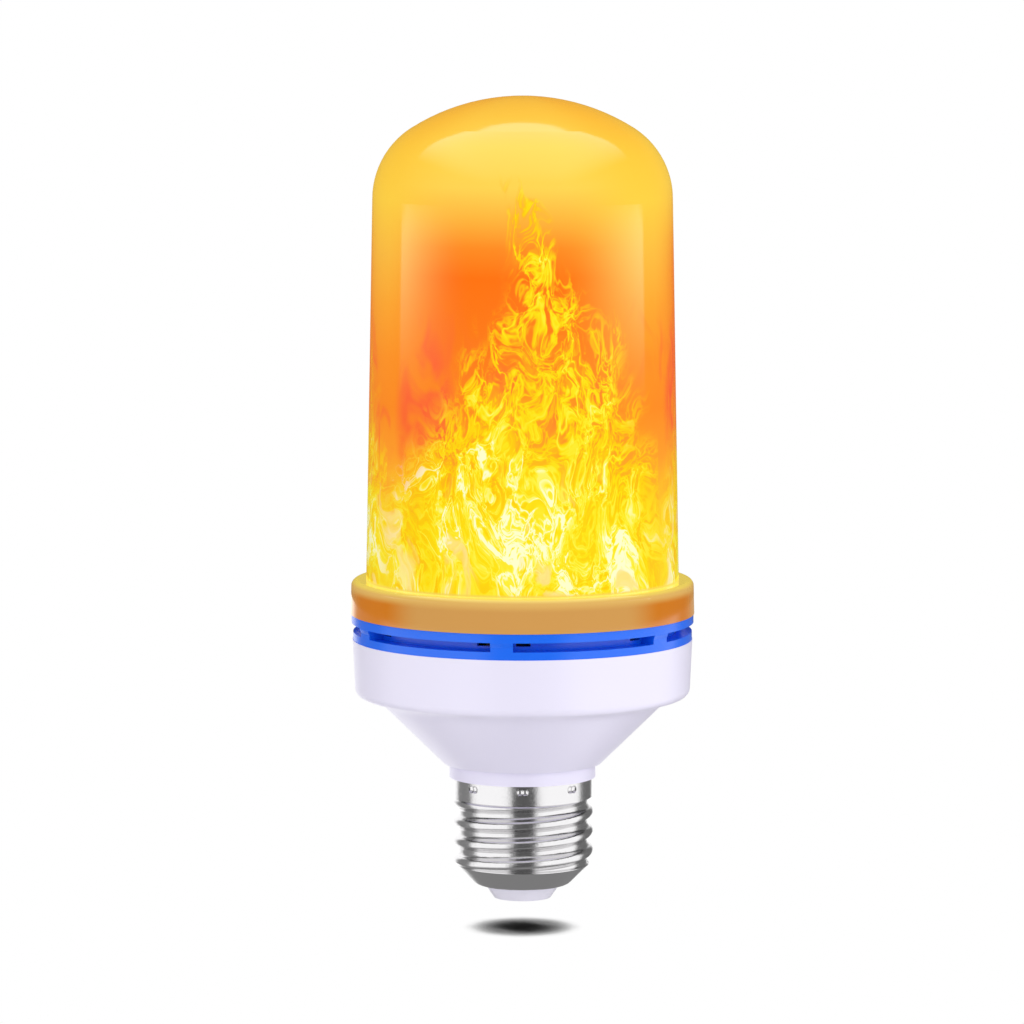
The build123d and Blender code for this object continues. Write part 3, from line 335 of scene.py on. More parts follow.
    # Peach gaps between the flames at the foot
    gaps = patches(flow, 7.0, 0.56, 0.68)
    near_foot = add_node(tree, "ShaderNodeMapRange", {0: level, 1: 86.0, 2: 66.0}, **SMOOTH)
    peach = add_node(tree, "ShaderNodeMath", {0: gaps, 1: near_foot}, operation="MULTIPLY")
    peach = add_node(tree, "ShaderNodeMath", {0: peach, 1: 0.7}, operation="MULTIPLY")
    flame = add_node(tree, "ShaderNodeMix", {0: peach, 6: flame, 7: linear("FDDE96")}, **COLOUR_MIX)

    # Collar: a brown amber with no light behind it, yet it takes the cover's glow, a painted glow. Its
    # paler middles under each flame are a painted reflection of the soft boxes, deeper between them, and
    # its yellow top edge is painted light from the globe
    sector_offset = add_node(tree, "ShaderNodeMath", {0: sector}, operation="ABSOLUTE")
    between = add_node(tree, "ShaderNodeMapRange", {0: sector_offset, 1: 0.62, 2: 0.92}, **SMOOTH)
    # Paler in the middle of each flame and deeper between them: the paler middles are a painted reflection
    # of the soft boxes
    amber_and_sheen_colours = {0: between, 6: linear("CE9852"), 7: linear("CD7820")}
    amber_and_painted_sheen = add_node(tree, "ShaderNodeMix", amber_and_sheen_colours, **COLOUR_MIX)
    # The flange's yellow top is painted light from the globe's glowing foot, and the tan band down its
    # rounded edge is a painted highlight
    over_edge = add_node(tree, "ShaderNodeMapRange", {0: level, 1: 60.1, 2: 59.2}, **SMOOTH)
    edge_light_colours = {0: over_edge, 6: linear("EFD45C"), 7: linear("DDB060")}
    painted_edge_light = add_node(tree, "ShaderNodeMix", edge_light_colours, **COLOUR_MIX)
    below_edge = add_node(tree, "ShaderNodeMapRange", {0: level, 1: 59.2, 2: 57.6}, **SMOOTH)
    collar = add_node(tree, "ShaderNodeMix", {0: below_edge, 6: painted_edge_light, 7: amber_and_painted_sheen}, **COLOUR_MIX)
    on_collar = add_node(tree, "ShaderNodeMapRange", {0: level, 1: 60.7, 2: 60.05}, **SMOOTH)
    pattern = add_node(tree, "ShaderNodeMix", {0: on_collar, 6: flame, 7: collar}, **COLOUR_MIX)

    # A little under half of the pattern's colour is paint, which the room lights; the glow adds the rest
    paint = add_node(tree, "ShaderNodeMix", {0: 0.55, 6: pattern, 7: linear("000000")}, **COLOUR_MIX)
    tree.links.new(paint, shader.inputs["Base Color"])
    # The collar and its edge take this glow too, a painted glow, though no light is behind them
    tree.links.new(pattern, shader.inputs["Emission Color"])
    return material


# Nickel plated sheet: a bright mirror-like metal, faintly uneven from rolling, with fine grain.
# The real grain is too fine to show, so it is drawn about two of the photo's pixels across.
def plated_sheet_material():
    """Metal of the screw shell."""
    grain_size, dent_size = 0.35, 2.6
    name = "nickel-plated rolled sheet"
    material = new_material(name, Base_Color=linear("DCDBDC"), Metallic=1.0, Roughness=0.17)
    tree = material.node_tree
    mm, _ = places(tree)
    waves = {"Vector": mm, "Scale": 1 / grain_size, "Detail": 3.0, "Roughness": 0.6}
    grain = add_node(tree, "ShaderNodeTexNoise", waves)
    dents = add_node(tree, "ShaderNodeTexNoise", {"Vector": mm, "Scale": 1 / dent_size, "Detail": 1.0})
    face = add_node(tree, "ShaderNodeMath", {0: dents, 1: 4.0, 2: grain}, operation="MULTIPLY_ADD")
    raise_face(material, face, 0.012)
    rough = add_node(
        tree,
        "ShaderNodeMapRange",
        {"Value": grain, "From Min": 0.3, "From Max": 0.7, "To Min": 0.12, "To Max": 0.26},
    )
    tree.links.new(rough, tree.nodes["Principled BSDF"].inputs["Roughness"])
    return material


# Lacquered resistor barrel: a pale body with printed colour bands and tinned leads
def resistor_material():
    """Bands along the fuse resistor's length."""
    material = new_material("lacquered resistor barrel", Roughness=0.35)
    tree = material.node_tree
    _, axes = places(tree)
    low, high = span("fuse_resistor")
    along = add_node(tree, "ShaderNodeMapRange", {0: axes["X"], 1: low.x, 2: high.x})
    bands = set_ramp(
        add_node(tree, "ShaderNodeValToRGB", {"Fac": along}, output=None),
        [
            (0.0, "B9BBBE"),
            (0.2, "7FA68C"),
            (0.29, "3A2416"),
            (0.35, "7FA68C"),
            (0.41, "151515"),
            (0.47, "7FA68C"),
            (0.53, "151515"),
            (0.59, "7FA68C"),
            (0.67, "B08A3C"),
            (0.73, "7FA68C"),
            (0.8, "B9BBBE"),
        ],
        "CONSTANT",
    )
    tree.links.new(bands, tree.nodes["Principled BSDF"].inputs["Base Color"])
    return material


# Board laminate: green solder resist over copper tracks, which show as paler lanes
def laminate_material():
    """Face of the driver board."""
    material = new_material("green solder resist on glass epoxy", Roughness=0.28)
    tree = material.node_tree
    mm, _ = places(tree)
    lanes = add_node(
        tree,
        "ShaderNodeTexBrick",
        {
            "Vector": mm,
            "Color1": linear("1F6B35"),
            "Color2": linear("237A3C"),
            "Mortar": linear("124A24"),
            "Scale": 1.0,
            "Mortar Size": 0.22,
            "Brick Width": 5.2,
            "Row Height": 2.3,
        },
        output="Color",
        offset=0.37,
    )
    tree.links.new(lanes, tree.nodes["Principled BSDF"].inputs["Base Color"])
    return material


# Shrink sleeve: dark blue film with one pale stripe down the side that marks the negative lead
def sleeve_material(node):
    """Sleeve of the capacitor in the given node."""
    material = new_material("printed shrink sleeve on " + node.replace("_", " "), Roughness=0.25)
    tree = material.node_tree
    _, axes = places(tree)
    low, high = span(node)
    stripe_edge = low.x + 0.12 * (high.x - low.x)
    stripe = add_node(tree, "ShaderNodeMath", {0: axes["X"], 1: stripe_edge}, operation="LESS_THAN")
    films = {0: stripe, 6: linear("15203C"), 7: linear("C9CCD4")}
    colour = add_node(tree, "ShaderNodeMix", films, **COLOUR_MIX)
    tree.links.new(colour, tree.nodes["Principled BSDF"].inputs["Base Color"])
    return material


# Dark sintered ferrite: matt grey with a fine speckle, drawn coarser than its real grain to show
def ferrite_material():
    """Ferrite of the choke's core."""
    speckle_size = 0.25
    material = new_material("sintered ferrite", Roughness=0.6)
    tree = material.node_tree
    mm, _ = places(tree)
    wave = add_node(tree, "ShaderNodeTexNoise", {"Vector": mm, "Scale": 1 / speckle_size, "Detail": 2.0})
    speckle = set_ramp(
        add_node(tree, "ShaderNodeValToRGB", {"Fac": wave}, output=None),
        [(0.35, "2B2B2D"), (0.65, "47474A")],
    )
    tree.links.new(speckle, tree.nodes["Principled BSDF"].inputs["Base Color"])
    return material


lead_face = dict(roughness=0.45, grain=0.02, grain_size=0.6)
finishes = {
    "diffuser_cover": flame_cover_material(),
    # Glossy coloured ABS: a deep saturated blue with crisp highlights on its edges
    "vent_ring": moulded("blue ABS moulding", "0A6AF6", 0.22, 0.01),
    # White PBT with a violet tint, satin, so that light rolls softly round the bowl
    "base_housing": moulded("white PBT moulding", "EBE7FB", 0.34, 0.006, 0.5),
    "screw_shell": plated_sheet_material(),
    # Pale glassy insulator: smooth, and a little darker than the housing because it lies in shade
    "cap_insulator": moulded("pale moulded insulator", "F4F1FF", 0.25),
    # Riveted contact: plated steel with a bluish tone
    "end_contact": new_material(
        "nickel-plated contact", Base_Color=linear("A2A8BE"), Metallic=1.0, Roughness=0.25
    ),
    # Inner mouldings and boards: matt white, so that the lamps' light spreads inside the cover
    "led_carrier": moulded("white polycarbonate carrier", "E8E8E2", 0.5, 0.01),
    "led_flex_board": moulded("white solder resist on polyimide film", "E6E4DA", 0.42, 0.01),
    "led_crown_board": moulded("white solder resist on glass epoxy", "E4E3DB", 0.4, 0.01),
    # Lamp packages: glossy white bodies round the phosphor lenses
    "flame_leds": moulded("white LED package", "F1EEE4", 0.3),
    "controller_chip": moulded("black epoxy chip", "1E1F22", 0.4, 0.008, 0.2),
    "driver_board": laminate_material(),
    "smoothing_capacitor": sleeve_material("smoothing_capacitor"),
    "output_capacitor": sleeve_material("output_capacitor"),
    "choke_core": ferrite_material(),
    # Film capacitor: a thick dipped coating, glossy and brick red
    "film_capacitor": moulded("dipped epoxy coating", "A8361F", 0.2, 0.02, 1.5),
    "fuse_resistor": resistor_material(),
    # Zinc plated screws: bright, slightly bluish steel
    "board_screws": new_material(
        "zinc-plated steel", Base_Color=linear("C6CACF"), Metallic=1.0, Roughness=0.3
    ),
    # Silicone lead insulation: soft sheen, red for live and positive, black for the others
    "live_lead": moulded("red silicone insulation", "B3201C", **lead_face),
    "neutral_lead": moulded("black silicone insulation", "1B1B1D", **lead_face),
}
same_finish = {
    "crown_leds": "flame_leds",
    "bridge_rectifier": "controller_chip",
    "converter_chip": "controller_chip",
    "carrier_screws": "board_screws",
    "supply_lead_positive": "live_lead",
    "supply_lead_negative": "neutral_lead",
}
for node, other in same_finish.items():
    finishes[node] = finishes[other]
# Enamelled copper: a warm metal with a soft shine. Phosphor: amber under a clear glossy lens.
# Solder: a pale grey metal, smooth from its melting.
copper = new_material("enamelled copper wire", Base_Color=linear("B4642C"), Metallic=1.0, Roughness=0.28)
phosphor = moulded("phosphor under a silicone lens", "F6B22E", 0.12)
solder = new_material("tin solder", Base_Color=linear("C9CBD0"), Metallic=1.0, Roughness=0.22)
finishes["choke_winding"] = copper
for node, material in finishes.items():
    nodes[node].data.materials.clear()
    nodes[node].data.materials.append(material)


# Geometry Nodes: a tree with named inputs is built, run once and kept as a plain mesh
def new_tree(name, inputs):
    """A geometry tree with a Geometry output and inputs of the given names and socket types."""
    tree = bpy.data.node_groups.new(name, "GeometryNodeTree")
    for label, kind in inputs.items():
        tree.interface.new_socket(label, in_out="INPUT", socket_type=kind)
    tree.interface.new_socket("Geometry", in_out="OUTPUT", socket_type="NodeSocketGeometry")
    return tree, tree.nodes.new("NodeGroupInput").outputs


def close_tree(tree, geometry, material):
    """Ends a tree with realized instances and their material."""
    real = add_node(tree, "GeometryNodeRealizeInstances", {0: geometry})
    painted = add_node(tree, "GeometryNodeSetMaterial", {"Geometry": real, "Material": material})
    add_node(tree, "NodeGroupOutput", {"Geometry": painted}, output=None)


def grown(name, tree, values):
    """Object made by a geometry tree with the given input values, as a plain mesh."""
    piece = bpy.data.objects.new(name, bpy.data.meshes.new(name))
    scene.collection.objects.link(piece)
    modifier = piece.modifiers.new("tree", "NODES")
    modifier.node_group = tree
    for item in tree.interface.items_tree:
        if item.in_out == "INPUT":
            modifier[item.identifier] = values[item.name]
    bpy.context.view_layer.update()
    evaluated = piece.evaluated_get(bpy.context.evaluated_depsgraph_get())
    piece.data = bpy.data.meshes.new_from_object(evaluated)
    piece.modifiers.clear()
    return piece


def array_tree(name, grow_item, material):
    """Tree that sets an item on rows and columns of seats round the bulb's axis."""
    tree, given = new_tree(
        name,
        {
            "Rows": "NodeSocketInt",
            "Columns": "NodeSocketInt",
            "Radius": "NodeSocketFloat",
            "Foot": "NodeSocketFloat",
            "Row Pitch": "NodeSocketFloat",
            "First Turn": "NodeSocketFloat",
            "Outward": "NodeSocketFloat",
            "Upward": "NodeSocketFloat",
        },
    )
    count = add_node(tree, "ShaderNodeMath", {0: given["Rows"], 1: given["Columns"]}, operation="MULTIPLY")
    seats = add_node(tree, "GeometryNodePoints", {"Count": count})

    # The row is the whole part of the index over the columns; a half keeps it off the rounding edge
    index = add_node(tree, "GeometryNodeInputIndex")
    row = add_node(tree, "ShaderNodeMath", {0: index, 1: 0.5}, operation="ADD")
    row = add_node(tree, "ShaderNodeMath", {0: row, 1: given["Columns"]}, operation="DIVIDE")
    row = add_node(tree, "ShaderNodeMath", {0: row}, operation="FLOOR")
    step = add_node(tree, "ShaderNodeMath", {0: 2 * math.pi, 1: given["Columns"]}, operation="DIVIDE")
    turning = {0: index, 1: step, 2: given["First Turn"]}
    turn = add_node(tree, "ShaderNodeMath", turning, operation="MULTIPLY_ADD")
    side_x = add_node(tree, "ShaderNodeMath", {0: turn}, operation="COSINE")
    side_y = add_node(tree, "ShaderNodeMath", {0: turn}, operation="SINE")

    # Places of the seats
    seat_x = add_node(tree, "ShaderNodeMath", {0: side_x, 1: given["Radius"]}, operation="MULTIPLY")
    seat_y = add_node(tree, "ShaderNodeMath", {0: side_y, 1: given["Radius"]}, operation="MULTIPLY")
    rising = {0: row, 1: given["Row Pitch"], 2: given["Foot"]}
    seat_z = add_node(tree, "ShaderNodeMath", rising, operation="MULTIPLY_ADD")
    place = add_node(tree, "ShaderNodeCombineXYZ", {0: seat_x, 1: seat_y, 2: seat_z})
    placed = add_node(tree, "GeometryNodeSetPosition", {"Geometry": seats, "Position": place})

    # An item's own z points outwards or upwards, and its own x runs along the circle
    out_x = add_node(tree, "ShaderNodeMath", {0: side_x, 1: given["Outward"]}, operation="MULTIPLY")
    out_y = add_node(tree, "ShaderNodeMath", {0: side_y, 1: given["Outward"]}, operation="MULTIPLY")
    facing = add_node(tree, "ShaderNodeCombineXYZ", {0: out_x, 1: out_y, 2: given["Upward"]})
    along_x = add_node(tree, "ShaderNodeMath", {0: side_y, 1: -1.0}, operation="MULTIPLY")
    along = add_node(tree, "ShaderNodeCombineXYZ", {0: along_x, 1: side_x, 2: 0.0})
    rotation = add_node(
        tree,
        "FunctionNodeAxesToRotation",
        {"Primary Axis": facing, "Secondary Axis": along},
        primary_axis="Z",
        secondary_axis="X",
    )
    setting = {"Points": placed, "Instance": grow_item(tree), "Rotation": rotation}
    copies = add_node(tree, "GeometryNodeInstanceOnPoints", setting)
    close_tree(tree, copies, material)
    return tree


def lens(tree):
    """A shallow dome 2 mm across, its middle on the seat."""
    ball = add_node(tree, "GeometryNodeMeshUVSphere", {"Segments": 16, "Rings": 8, "Radius": 1.0 / MM})
    return add_node(tree, "GeometryNodeTransform", {"Geometry": ball, "Scale": (1.0, 1.15, 0.22)})


def solder_pair(tree):
    """Two low solder fillets at the ends of a lamp."""
    lamp_end = 1.7
    ball = add_node(tree, "GeometryNodeMeshIcoSphere", {"Radius": 0.5 / MM, "Subdivisions": 2})
    fillet = add_node(tree, "GeometryNodeTransform", {"Geometry": ball, "Scale": (2.2, 0.9, 0.5)})
    first, step = (0.0, -lamp_end / MM, 0.0), (0.0, 2 * lamp_end / MM, 0.0)
    ends = add_node(tree, "GeometryNodeMeshLine", {"Count": 2, "Start Location": first, "Offset": step})
    return add_node(tree, "GeometryNodeInstanceOnPoints", {"Points": ends, "Instance": fillet})


# Seats of the lamps. Each lamp is a package on its board; the lens stands in its face, and the
# solder sits low at its ends, so their middles lie below the face.
lamp_rows, lamp_columns, crown_lamps = 9, 11, 6
half_lamp_length = 1.75
lens_below_face, solder_below_face = 0.13, 0.63
crown_circle_inset = 7.6
lamps_low, lamps_high = span("flame_leds")
_, crown_high = span("crown_leds")
_, crown_board_high = span("led_crown_board")
lamp_face = lamps_high.x / math.cos(math.pi / (2 * lamp_columns))
column_seats = {
    "Rows": lamp_rows,
    "Columns": lamp_columns,
    "Foot": (lamps_low.z + half_lamp_length) / MM,
    "Row Pitch": (lamps_high.z - lamps_low.z - 2 * half_lamp_length) / (lamp_rows - 1) / MM,
    "First Turn": -math.pi / 2,
    "Outward": 1.0,
    "Upward": 0.0,
}
crown_seats = {
    "Rows": 1,
    "Columns": crown_lamps,
    "Radius": (crown_board_high.x - crown_circle_inset) / MM,
    "Row Pitch": 0.0,
    "First Turn": 0.0,
    "Outward": 0.0,
    "Upward": 1.0,
}
lens_tree = array_tree("lamp lenses", lens, phosphor)
solder_tree = array_tree("lamp solder", solder_pair, solder)
lamp_parts = (("lenses", lens_tree, lens_below_face), ("solder", solder_tree, solder_below_face))
grown_pieces = [
    grown("flame_lamp_" + part, tree, {**column_seats, "Radius": (lamp_face - below) / MM})
    for part, tree, below in lamp_parts
]
grown_pieces += [
    grown("crown_lamp_" + part, tree, {**crown_seats, "Foot": (crown_high.z - below) / MM})
    for part, tree, below in lamp_parts
]


# Choke winding: close turns of enamelled wire round the bobbin, in place of the CAD ring
def winding_tree():
    """Tree that winds a helix of round wire."""
    tree, given = new_tree(
        "choke winding",
        {
            "Radius": "NodeSocketFloat",
            "Height": "NodeSocketFloat",
            "Wire Radius": "NodeSocketFloat",
            "Turns": "NodeSocketFloat",
            "Place": "NodeSocketVector",
        },
    )
    helix = add_node(
        tree,
        "GeometryNodeCurveSpiral",
        {
            "Resolution": 28,
            "Rotations": given["Turns"],
            "Start Radius": given["Radius"],
            "End Radius": given["Radius"],
            "Height": given["Height"],
        },
    )
    circle = {"Resolution": 8, "Radius": given["Wire Radius"]}
    section = add_node(tree, "GeometryNodeCurvePrimitiveCircle", circle)
    sweep = {"Curve": helix, "Profile Curve": section, "Fill Caps": True}
    wire = add_node(tree, "GeometryNodeCurveToMesh", sweep)
    moved = add_node(tree, "GeometryNodeTransform", {"Geometry": wire, "Translation": given["Place"]})
    close_tree(tree, moved, copper)
    return tree


wire_radius = 0.2
coil_low, coil_high = span("choke_winding")
coil_middle = (coil_low + coil_high) / 2
coil_height = coil_high.z - coil_low.z - 2 * wire_radius
winding = grown(
    "choke_wire_turns",
    winding_tree(),
    {
        "Radius": ((coil_high.x - coil_low.x) / 2 - wire_radius) / MM,
        "Height": coil_height / MM,
        "Wire Radius": wire_radius / MM,
        "Turns": coil_height / (2 * wire_radius),
        "Place": (coil_middle.x / MM, coil_middle.y / MM, (coil_low.z + wire_radius) / MM),
    },
)
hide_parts("choke_winding")
grown_pieces.append(winding)
for piece in grown_pieces:
    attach(piece, "root")
    piece.data.shade_smooth()


# Studio: a white floor with a dark contact shadow, and cards that only reflections see. Its
# pieces are placed in metres and degrees, and its patterns work in millimetres and degrees.
def card(name, corners, faces=((0, 1, 2, 3),)):
    """A flat or folded piece of the studio through the given corners."""
    mesh = bpy.data.meshes.new(name)
    mesh.from_pydata(corners, [], faces)
    piece = bpy.data.objects.new(name, mesh)
    scene.collection.objects.link(piece)
    return piece


def level_card(name, left, right, front, back, z):
    """A level rectangular card between the given edges."""
    return card(name, [(left, front, z), (right, front, z), (right, back, z), (left, back, z)])


def arc_card(name, azimuths, distance, low, high, steps=24):
    """A card bent round the bulb; azimuths run in degrees from the photo's camera to its right."""
    first, last = (math.radians(angle - 90) for angle in azimuths)
    turns = [first + (last - first) * step / steps for step in range(steps + 1)]
    ring = [(distance * math.cos(turn), distance * math.sin(turn)) for turn in turns]
    corners = [(x, y, z) for z in (low, high) for x, y in ring]
    row = steps + 1
    return card(name, corners, [(k, k + 1, row + k + 1, row + k) for k in range(steps)])


def glowing(piece, strength, *settings):
    """Gives a card a glow for reflections only; the function strength builds how bright it is where."""
    material = bpy.data.materials.new(piece.name)
    material.use_nodes = True
    tree = material.node_tree
    tree.nodes.remove(tree.nodes["Principled BSDF"])
    _, axes = places(tree)
    light = add_node(tree, "ShaderNodeEmission", {"Strength": strength(tree, axes, *settings)})
    tree.links.new(light, tree.nodes["Material Output"].inputs["Surface"])
    piece.data.materials.append(material)
    piece.visible_camera = piece.visible_diffuse = piece.visible_shadow = False


def azimuth(tree, axes):
    """Degrees from the photo's camera, rising to 180 towards its right and falling to -180 to its left."""
    turn = turn_from_front(tree, axes)
    return add_node(tree, "ShaderNodeMath", {0: turn, 1: 180 / math.pi}, operation="MULTIPLY")


def seen_as_backdrop(tree):
    """1 for the rays that show the backdrop: camera and transmission rays."""
    path = add_node(tree, "ShaderNodeLightPath", output=None).outputs
    rays = {0: path["Is Camera Ray"], 1: path["Is Transmission Ray"]}
    return add_node(tree, "ShaderNodeMath", rays, operation="MAXIMUM")


# What the cap mirrors: dark stripes in front and at both sides, white between them. Each stripe
# has its middle, half angle and soft edge in degrees, then the strength inside.
stripe_white = 1.3
dark_stripes = ((2.0, 27.0, 14.0, 0.12), (-106.0, 28.0, 15.0, 0.26), (127.0, 32.0, 15.0, 0.18))


def stripes(tree, axes):
    """Strength of the light from each azimuth round the cap."""
    turn = azimuth(tree, axes)
    light = stripe_white
    for middle, half_angle, soft_edge, dark in dark_stripes:
        turned = add_node(tree, "ShaderNodeMath", {0: turn, 1: middle}, operation="SUBTRACT")
        turned = add_node(tree, "ShaderNodeMath", {0: turned, 1: 180.0, 2: -180.0}, operation="WRAP")
        turned = add_node(tree, "ShaderNodeMath", {0: turned}, operation="ABSOLUTE")
        edges = {0: turned, 1: half_angle - soft_edge, 2: half_angle}
        clear = add_node(tree, "ShaderNodeMapRange", edges, **SMOOTH)
        over_dark = add_node(tree, "ShaderNodeMath", {0: light, 1: dark}, operation="SUBTRACT")
        mix = {0: clear, 1: over_dark, 2: dark}
        light = add_node(tree, "ShaderNodeMath", mix, operation="MULTIPLY_ADD")
    return light


# Floor: white to the camera, with a dark contact shadow. Reflections see it dim below the cap,
# striped round it, white further out and nearly dark far away.
screen_radius = 0.07
floor_level, floor_reach = -0.0055, 3.0
shadow_reach = 0.0085
under_cap, far_away = 0.27, 0.05
dim_radius, striped_radius, white_radius, dark_radius = 16.0, 34.0, 400.0, 480.0
floor = level_card("floor", -floor_reach, floor_reach, -floor_reach, floor_reach, floor_level)
floor_white = new_material("white floor", Base_Color=linear("E6E6E6"), Roughness=0.9)
floor_tree = floor_white.node_tree
near = add_node(
    floor_tree, "ShaderNodeAmbientOcclusion", {"Distance": shadow_reach}, output="AO", samples=16
)
contact = set_ramp(
    add_node(floor_tree, "ShaderNodeValToRGB", {"Fac": near}, output=None),
    [
        (0.6, "141414"),
        (0.69, "343434"),
        (0.77, "747474"),
        (0.84, "B4B4B4"),
        (0.91, "E8E8E8"),
        (0.96, "FFFFFF"),
    ],
)
bright = add_node(floor_tree, "ShaderNodeEmission", {"Color": contact, "Strength": 1.0})

floor_mm, floor_axes = places(floor_tree)
away = add_node(floor_tree, "ShaderNodeVectorMath", {0: floor_mm}, output="Value", operation="LENGTH")
outward = add_node(floor_tree, "ShaderNodeMapRange", {0: away, 1: dim_radius, 2: striped_radius}, **SMOOTH)
round_cap = stripes(floor_tree, floor_axes)
over_dim = add_node(floor_tree, "ShaderNodeMath", {0: round_cap, 1: under_cap}, operation="SUBTRACT")
fading = {0: outward, 1: over_dim, 2: under_cap}
striped = add_node(floor_tree, "ShaderNodeMath", fading, operation="MULTIPLY_ADD")
nearby = add_node(floor_tree, "ShaderNodeMapRange", {0: away, 1: dark_radius, 2: white_radius}, **SMOOTH)
spread = {0: nearby, 1: stripe_white - far_away, 2: far_away}
open_floor = add_node(floor_tree, "ShaderNodeMath", spread, operation="MULTIPLY_ADD")
inside = add_node(floor_tree, "ShaderNodeMath", {0: away, 1: screen_radius * MM}, operation="LESS_THAN")
levels = {"Value": inside, "To Min": open_floor, "To Max": striped}
mirrored_strength = add_node(floor_tree, "ShaderNodeMapRange", levels)
mirrored = add_node(floor_tree, "ShaderNodeEmission", {"Strength": mirrored_strength})

# Seen from below it is clear, so that it doesn't hide the end contact
lit = floor_tree.nodes["Principled BSDF"].outputs[0]
in_mirror = add_node(floor_tree, "ShaderNodeLightPath", output="Is Glossy Ray")
in_view = seen_as_backdrop(floor_tree)
from_below = add_node(floor_tree, "ShaderNodeNewGeometry", output="Backfacing")
clear_floor = add_node(floor_tree, "ShaderNodeBsdfTransparent")
shown = add_node(floor_tree, "ShaderNodeMixShader", {0: in_mirror, 1: lit, 2: mirrored})
shown = add_node(floor_tree, "ShaderNodeMixShader", {0: in_view, 1: shown, 2: bright})
shown = add_node(floor_tree, "ShaderNodeMixShader", {0: from_below, 1: shown, 2: clear_floor})
floor_tree.links.new(shown, floor_tree.nodes["Material Output"].inputs["Surface"])
floor.data.materials.append(floor_white)

# World: white to the camera, an even fill for matt faces, dim in reflections
fill, mirrored_fill = 1.04, 0.05
world = bpy.data.worlds.new("studio")
scene.world = world
world.use_nodes = True
world_tree = world.node_tree
background = world_tree.nodes["Background"]
background.inputs["Color"].default_value = (1, 1, 1, 1)
in_mirror = add_node(world_tree, "ShaderNodeLightPath", output="Is Glossy Ray")
levels = {"Value": in_mirror, "To Min": fill, "To Max": mirrored_fill}
strength = add_node(world_tree, "ShaderNodeMapRange", levels)
levels = {"Value": seen_as_backdrop(world_tree), "To Min": strength, "To Max": 1.0}
strength = add_node(world_tree, "ShaderNodeMapRange", levels)
world_tree.links.new(strength, background.inputs["Strength"])

# Key light: a soft box to the camera's right, which neither the camera nor reflections see
key_place, key_aim = Vector((0.6, -0.6, 0.3)), Vector((0, 0, 0.06))
key_side, key_radiance = 0.6, 1.0
key_light = bpy.data.lights.new("key light", "AREA")
key_light.shape = "SQUARE"
key_light.size = key_side
key_light.energy = key_radiance * math.pi * key_side * key_side
soft_box = bpy.data.objects.new("key light", key_light)
soft_box.location = key_place
soft_box.rotation_euler = (key_aim - key_place).to_track_quat("-Z", "Y").to_euler()
soft_box.visible_camera = soft_box.visible_glossy = False
scene.collection.objects.link(soft_box)


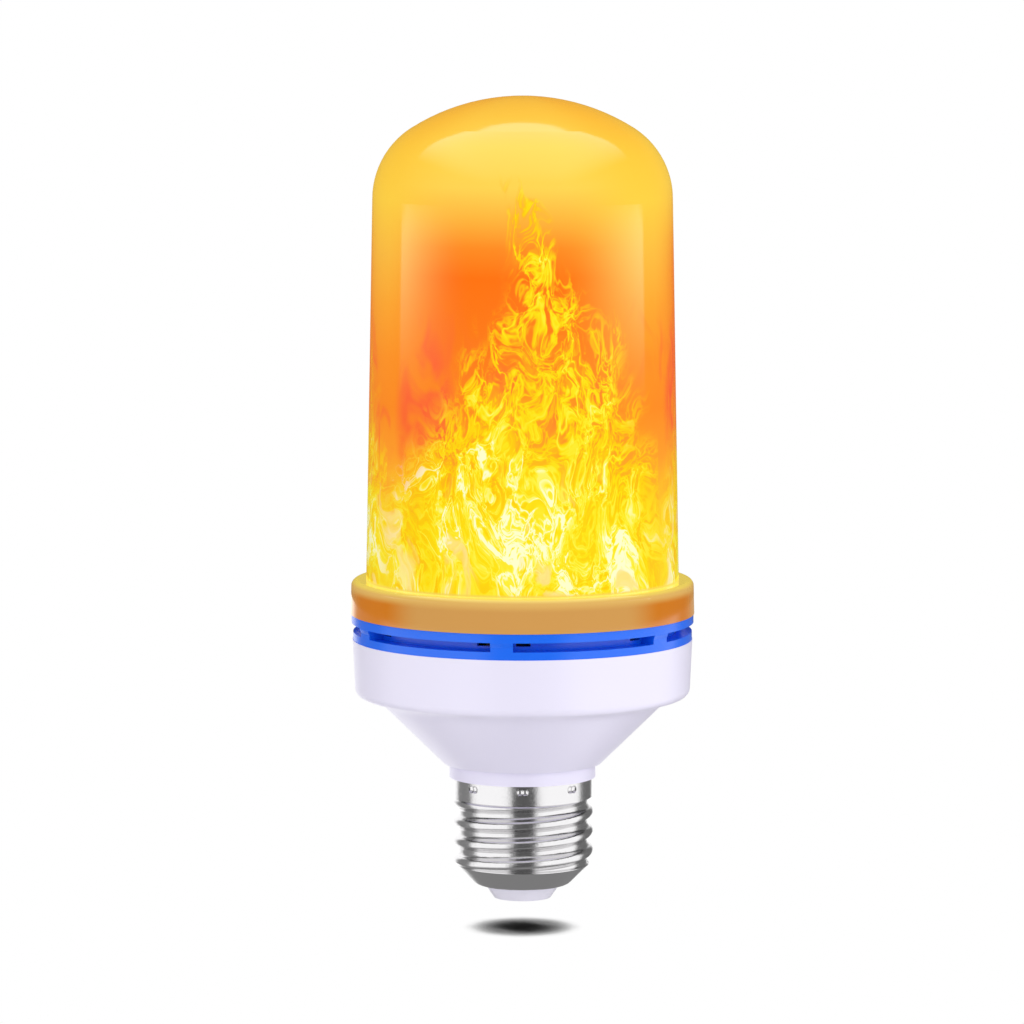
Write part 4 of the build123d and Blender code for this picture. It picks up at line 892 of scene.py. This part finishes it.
# Side cards: brightest at their upper outer corners, which are rounded, gone lower down, and
# even again along the foot
def side_strength(tree, axes, outer):
    """Strength of a side card that reaches the value outer at its outer side."""
    corner_turn, corner_level, corner_radius = 93.0, 113.0, 5.6
    foot_level, foot_light = 14.0, 1.6
    turn = azimuth(tree, axes)
    turn = add_node(tree, "ShaderNodeMath", {0: turn}, operation="ABSOLUTE")
    past_side = add_node(tree, "ShaderNodeMath", {0: turn, 1: corner_turn}, operation="SUBTRACT")
    past_side = add_node(tree, "ShaderNodeMath", {0: past_side, 1: 0.0}, operation="MAXIMUM")
    past_top = add_node(tree, "ShaderNodeMath", {0: axes["Z"], 1: corner_level}, operation="SUBTRACT")
    past_top = add_node(tree, "ShaderNodeMath", {0: past_top, 1: 0.0}, operation="MAXIMUM")
    corner = add_node(tree, "ShaderNodeMath", {0: past_side, 1: past_top}, operation="MULTIPLY")
    corner = add_node(tree, "ShaderNodeMath", {0: corner, 1: 0.5}, operation="POWER")
    rounded = add_node(tree, "ShaderNodeMapRange", {0: corner, 1: corner_radius, 2: 4.9}, **SMOOTH)
    upper = add_node(tree, "ShaderNodeMapRange", {0: axes["Z"], 1: 66.0, 2: 118.0}, **SMOOTH)
    upper = add_node(tree, "ShaderNodeMath", {0: upper, 1: outer}, operation="MULTIPLY")
    upper = add_node(tree, "ShaderNodeMath", {0: upper, 1: rounded}, operation="MULTIPLY")
    aside = add_node(tree, "ShaderNodeMapRange", {0: turn, 1: 36.0, 2: 108.0}, **SMOOTH)
    upper = add_node(tree, "ShaderNodeMath", {0: aside, 1: upper}, operation="MULTIPLY")
    foot = add_node(tree, "ShaderNodeMapRange", {0: axes["Z"], 1: foot_level, 2: 12.5}, **SMOOTH)
    inner = add_node(tree, "ShaderNodeMapRange", {0: turn, 1: 101.0, 2: 78.0}, **SMOOTH)
    foot = add_node(tree, "ShaderNodeMath", {0: foot, 1: inner}, operation="MULTIPLY")
    foot = add_node(tree, "ShaderNodeMath", {0: foot, 1: foot_light}, operation="MULTIPLY")
    return add_node(tree, "ShaderNodeMath", {0: upper, 1: foot}, operation="MAXIMUM")


side_distance, side_top = 0.36, 0.121
for name, azimuths, outer in (("left side card", (-102, -17), 1.9), ("right side card", (23, 101), 2.2)):
    glowing(arc_card(name, azimuths, side_distance, 0.0, side_top), side_strength, outer)


# Top card: what the dome mirrors, fading towards the front and the sides
def top_strength(tree, axes):
    """Strength of the top card."""
    rear_light = 2.1
    aside = add_node(tree, "ShaderNodeMath", {0: axes["X"]}, operation="ABSOLUTE")
    inner = add_node(tree, "ShaderNodeMapRange", {0: aside, 1: 930.0, 2: 350.0}, **SMOOTH)
    rear = add_node(tree, "ShaderNodeMapRange", {0: axes["Y"], 1: -1100.0, 2: 375.0})
    light = add_node(tree, "ShaderNodeMath", {0: rear, 1: inner}, operation="MULTIPLY")
    return add_node(tree, "ShaderNodeMath", {0: light, 1: rear_light}, operation="MULTIPLY")


top_side, top_front, top_back, top_level = 0.93, -1.1, 0.375, 0.75
glowing(level_card("top card", -top_side, top_side, top_front, top_back, top_level), top_strength)

# Screen: a low ring round the cap with the stripes
screen_top, screen_steps = 0.05, 96
glowing(arc_card("screen", (-180, 180), screen_radius, floor_level, screen_top, screen_steps), stripes)

# Camera: a metre away, a little above the bulb's top and looking slightly down, as in the photo
sideways, camera_distance, camera_level, aim_level = -0.00195, 1.0, 0.182, 0.0725
camera = bpy.data.objects.new("camera", bpy.data.cameras.new("camera"))
camera.data.lens, camera.data.sensor_width = 190.8, 36.0
camera.data.clip_start, camera.data.clip_end = 0.01, 20.0
camera.location = (sideways, -camera_distance, camera_level)
aim = Vector((sideways, 0.0, aim_level))
camera.rotation_euler = (aim - camera.location).to_track_quat("-Z", "Y").to_euler()
scene.collection.objects.link(camera)
scene.camera = camera
scene.view_settings.view_transform = "Standard"
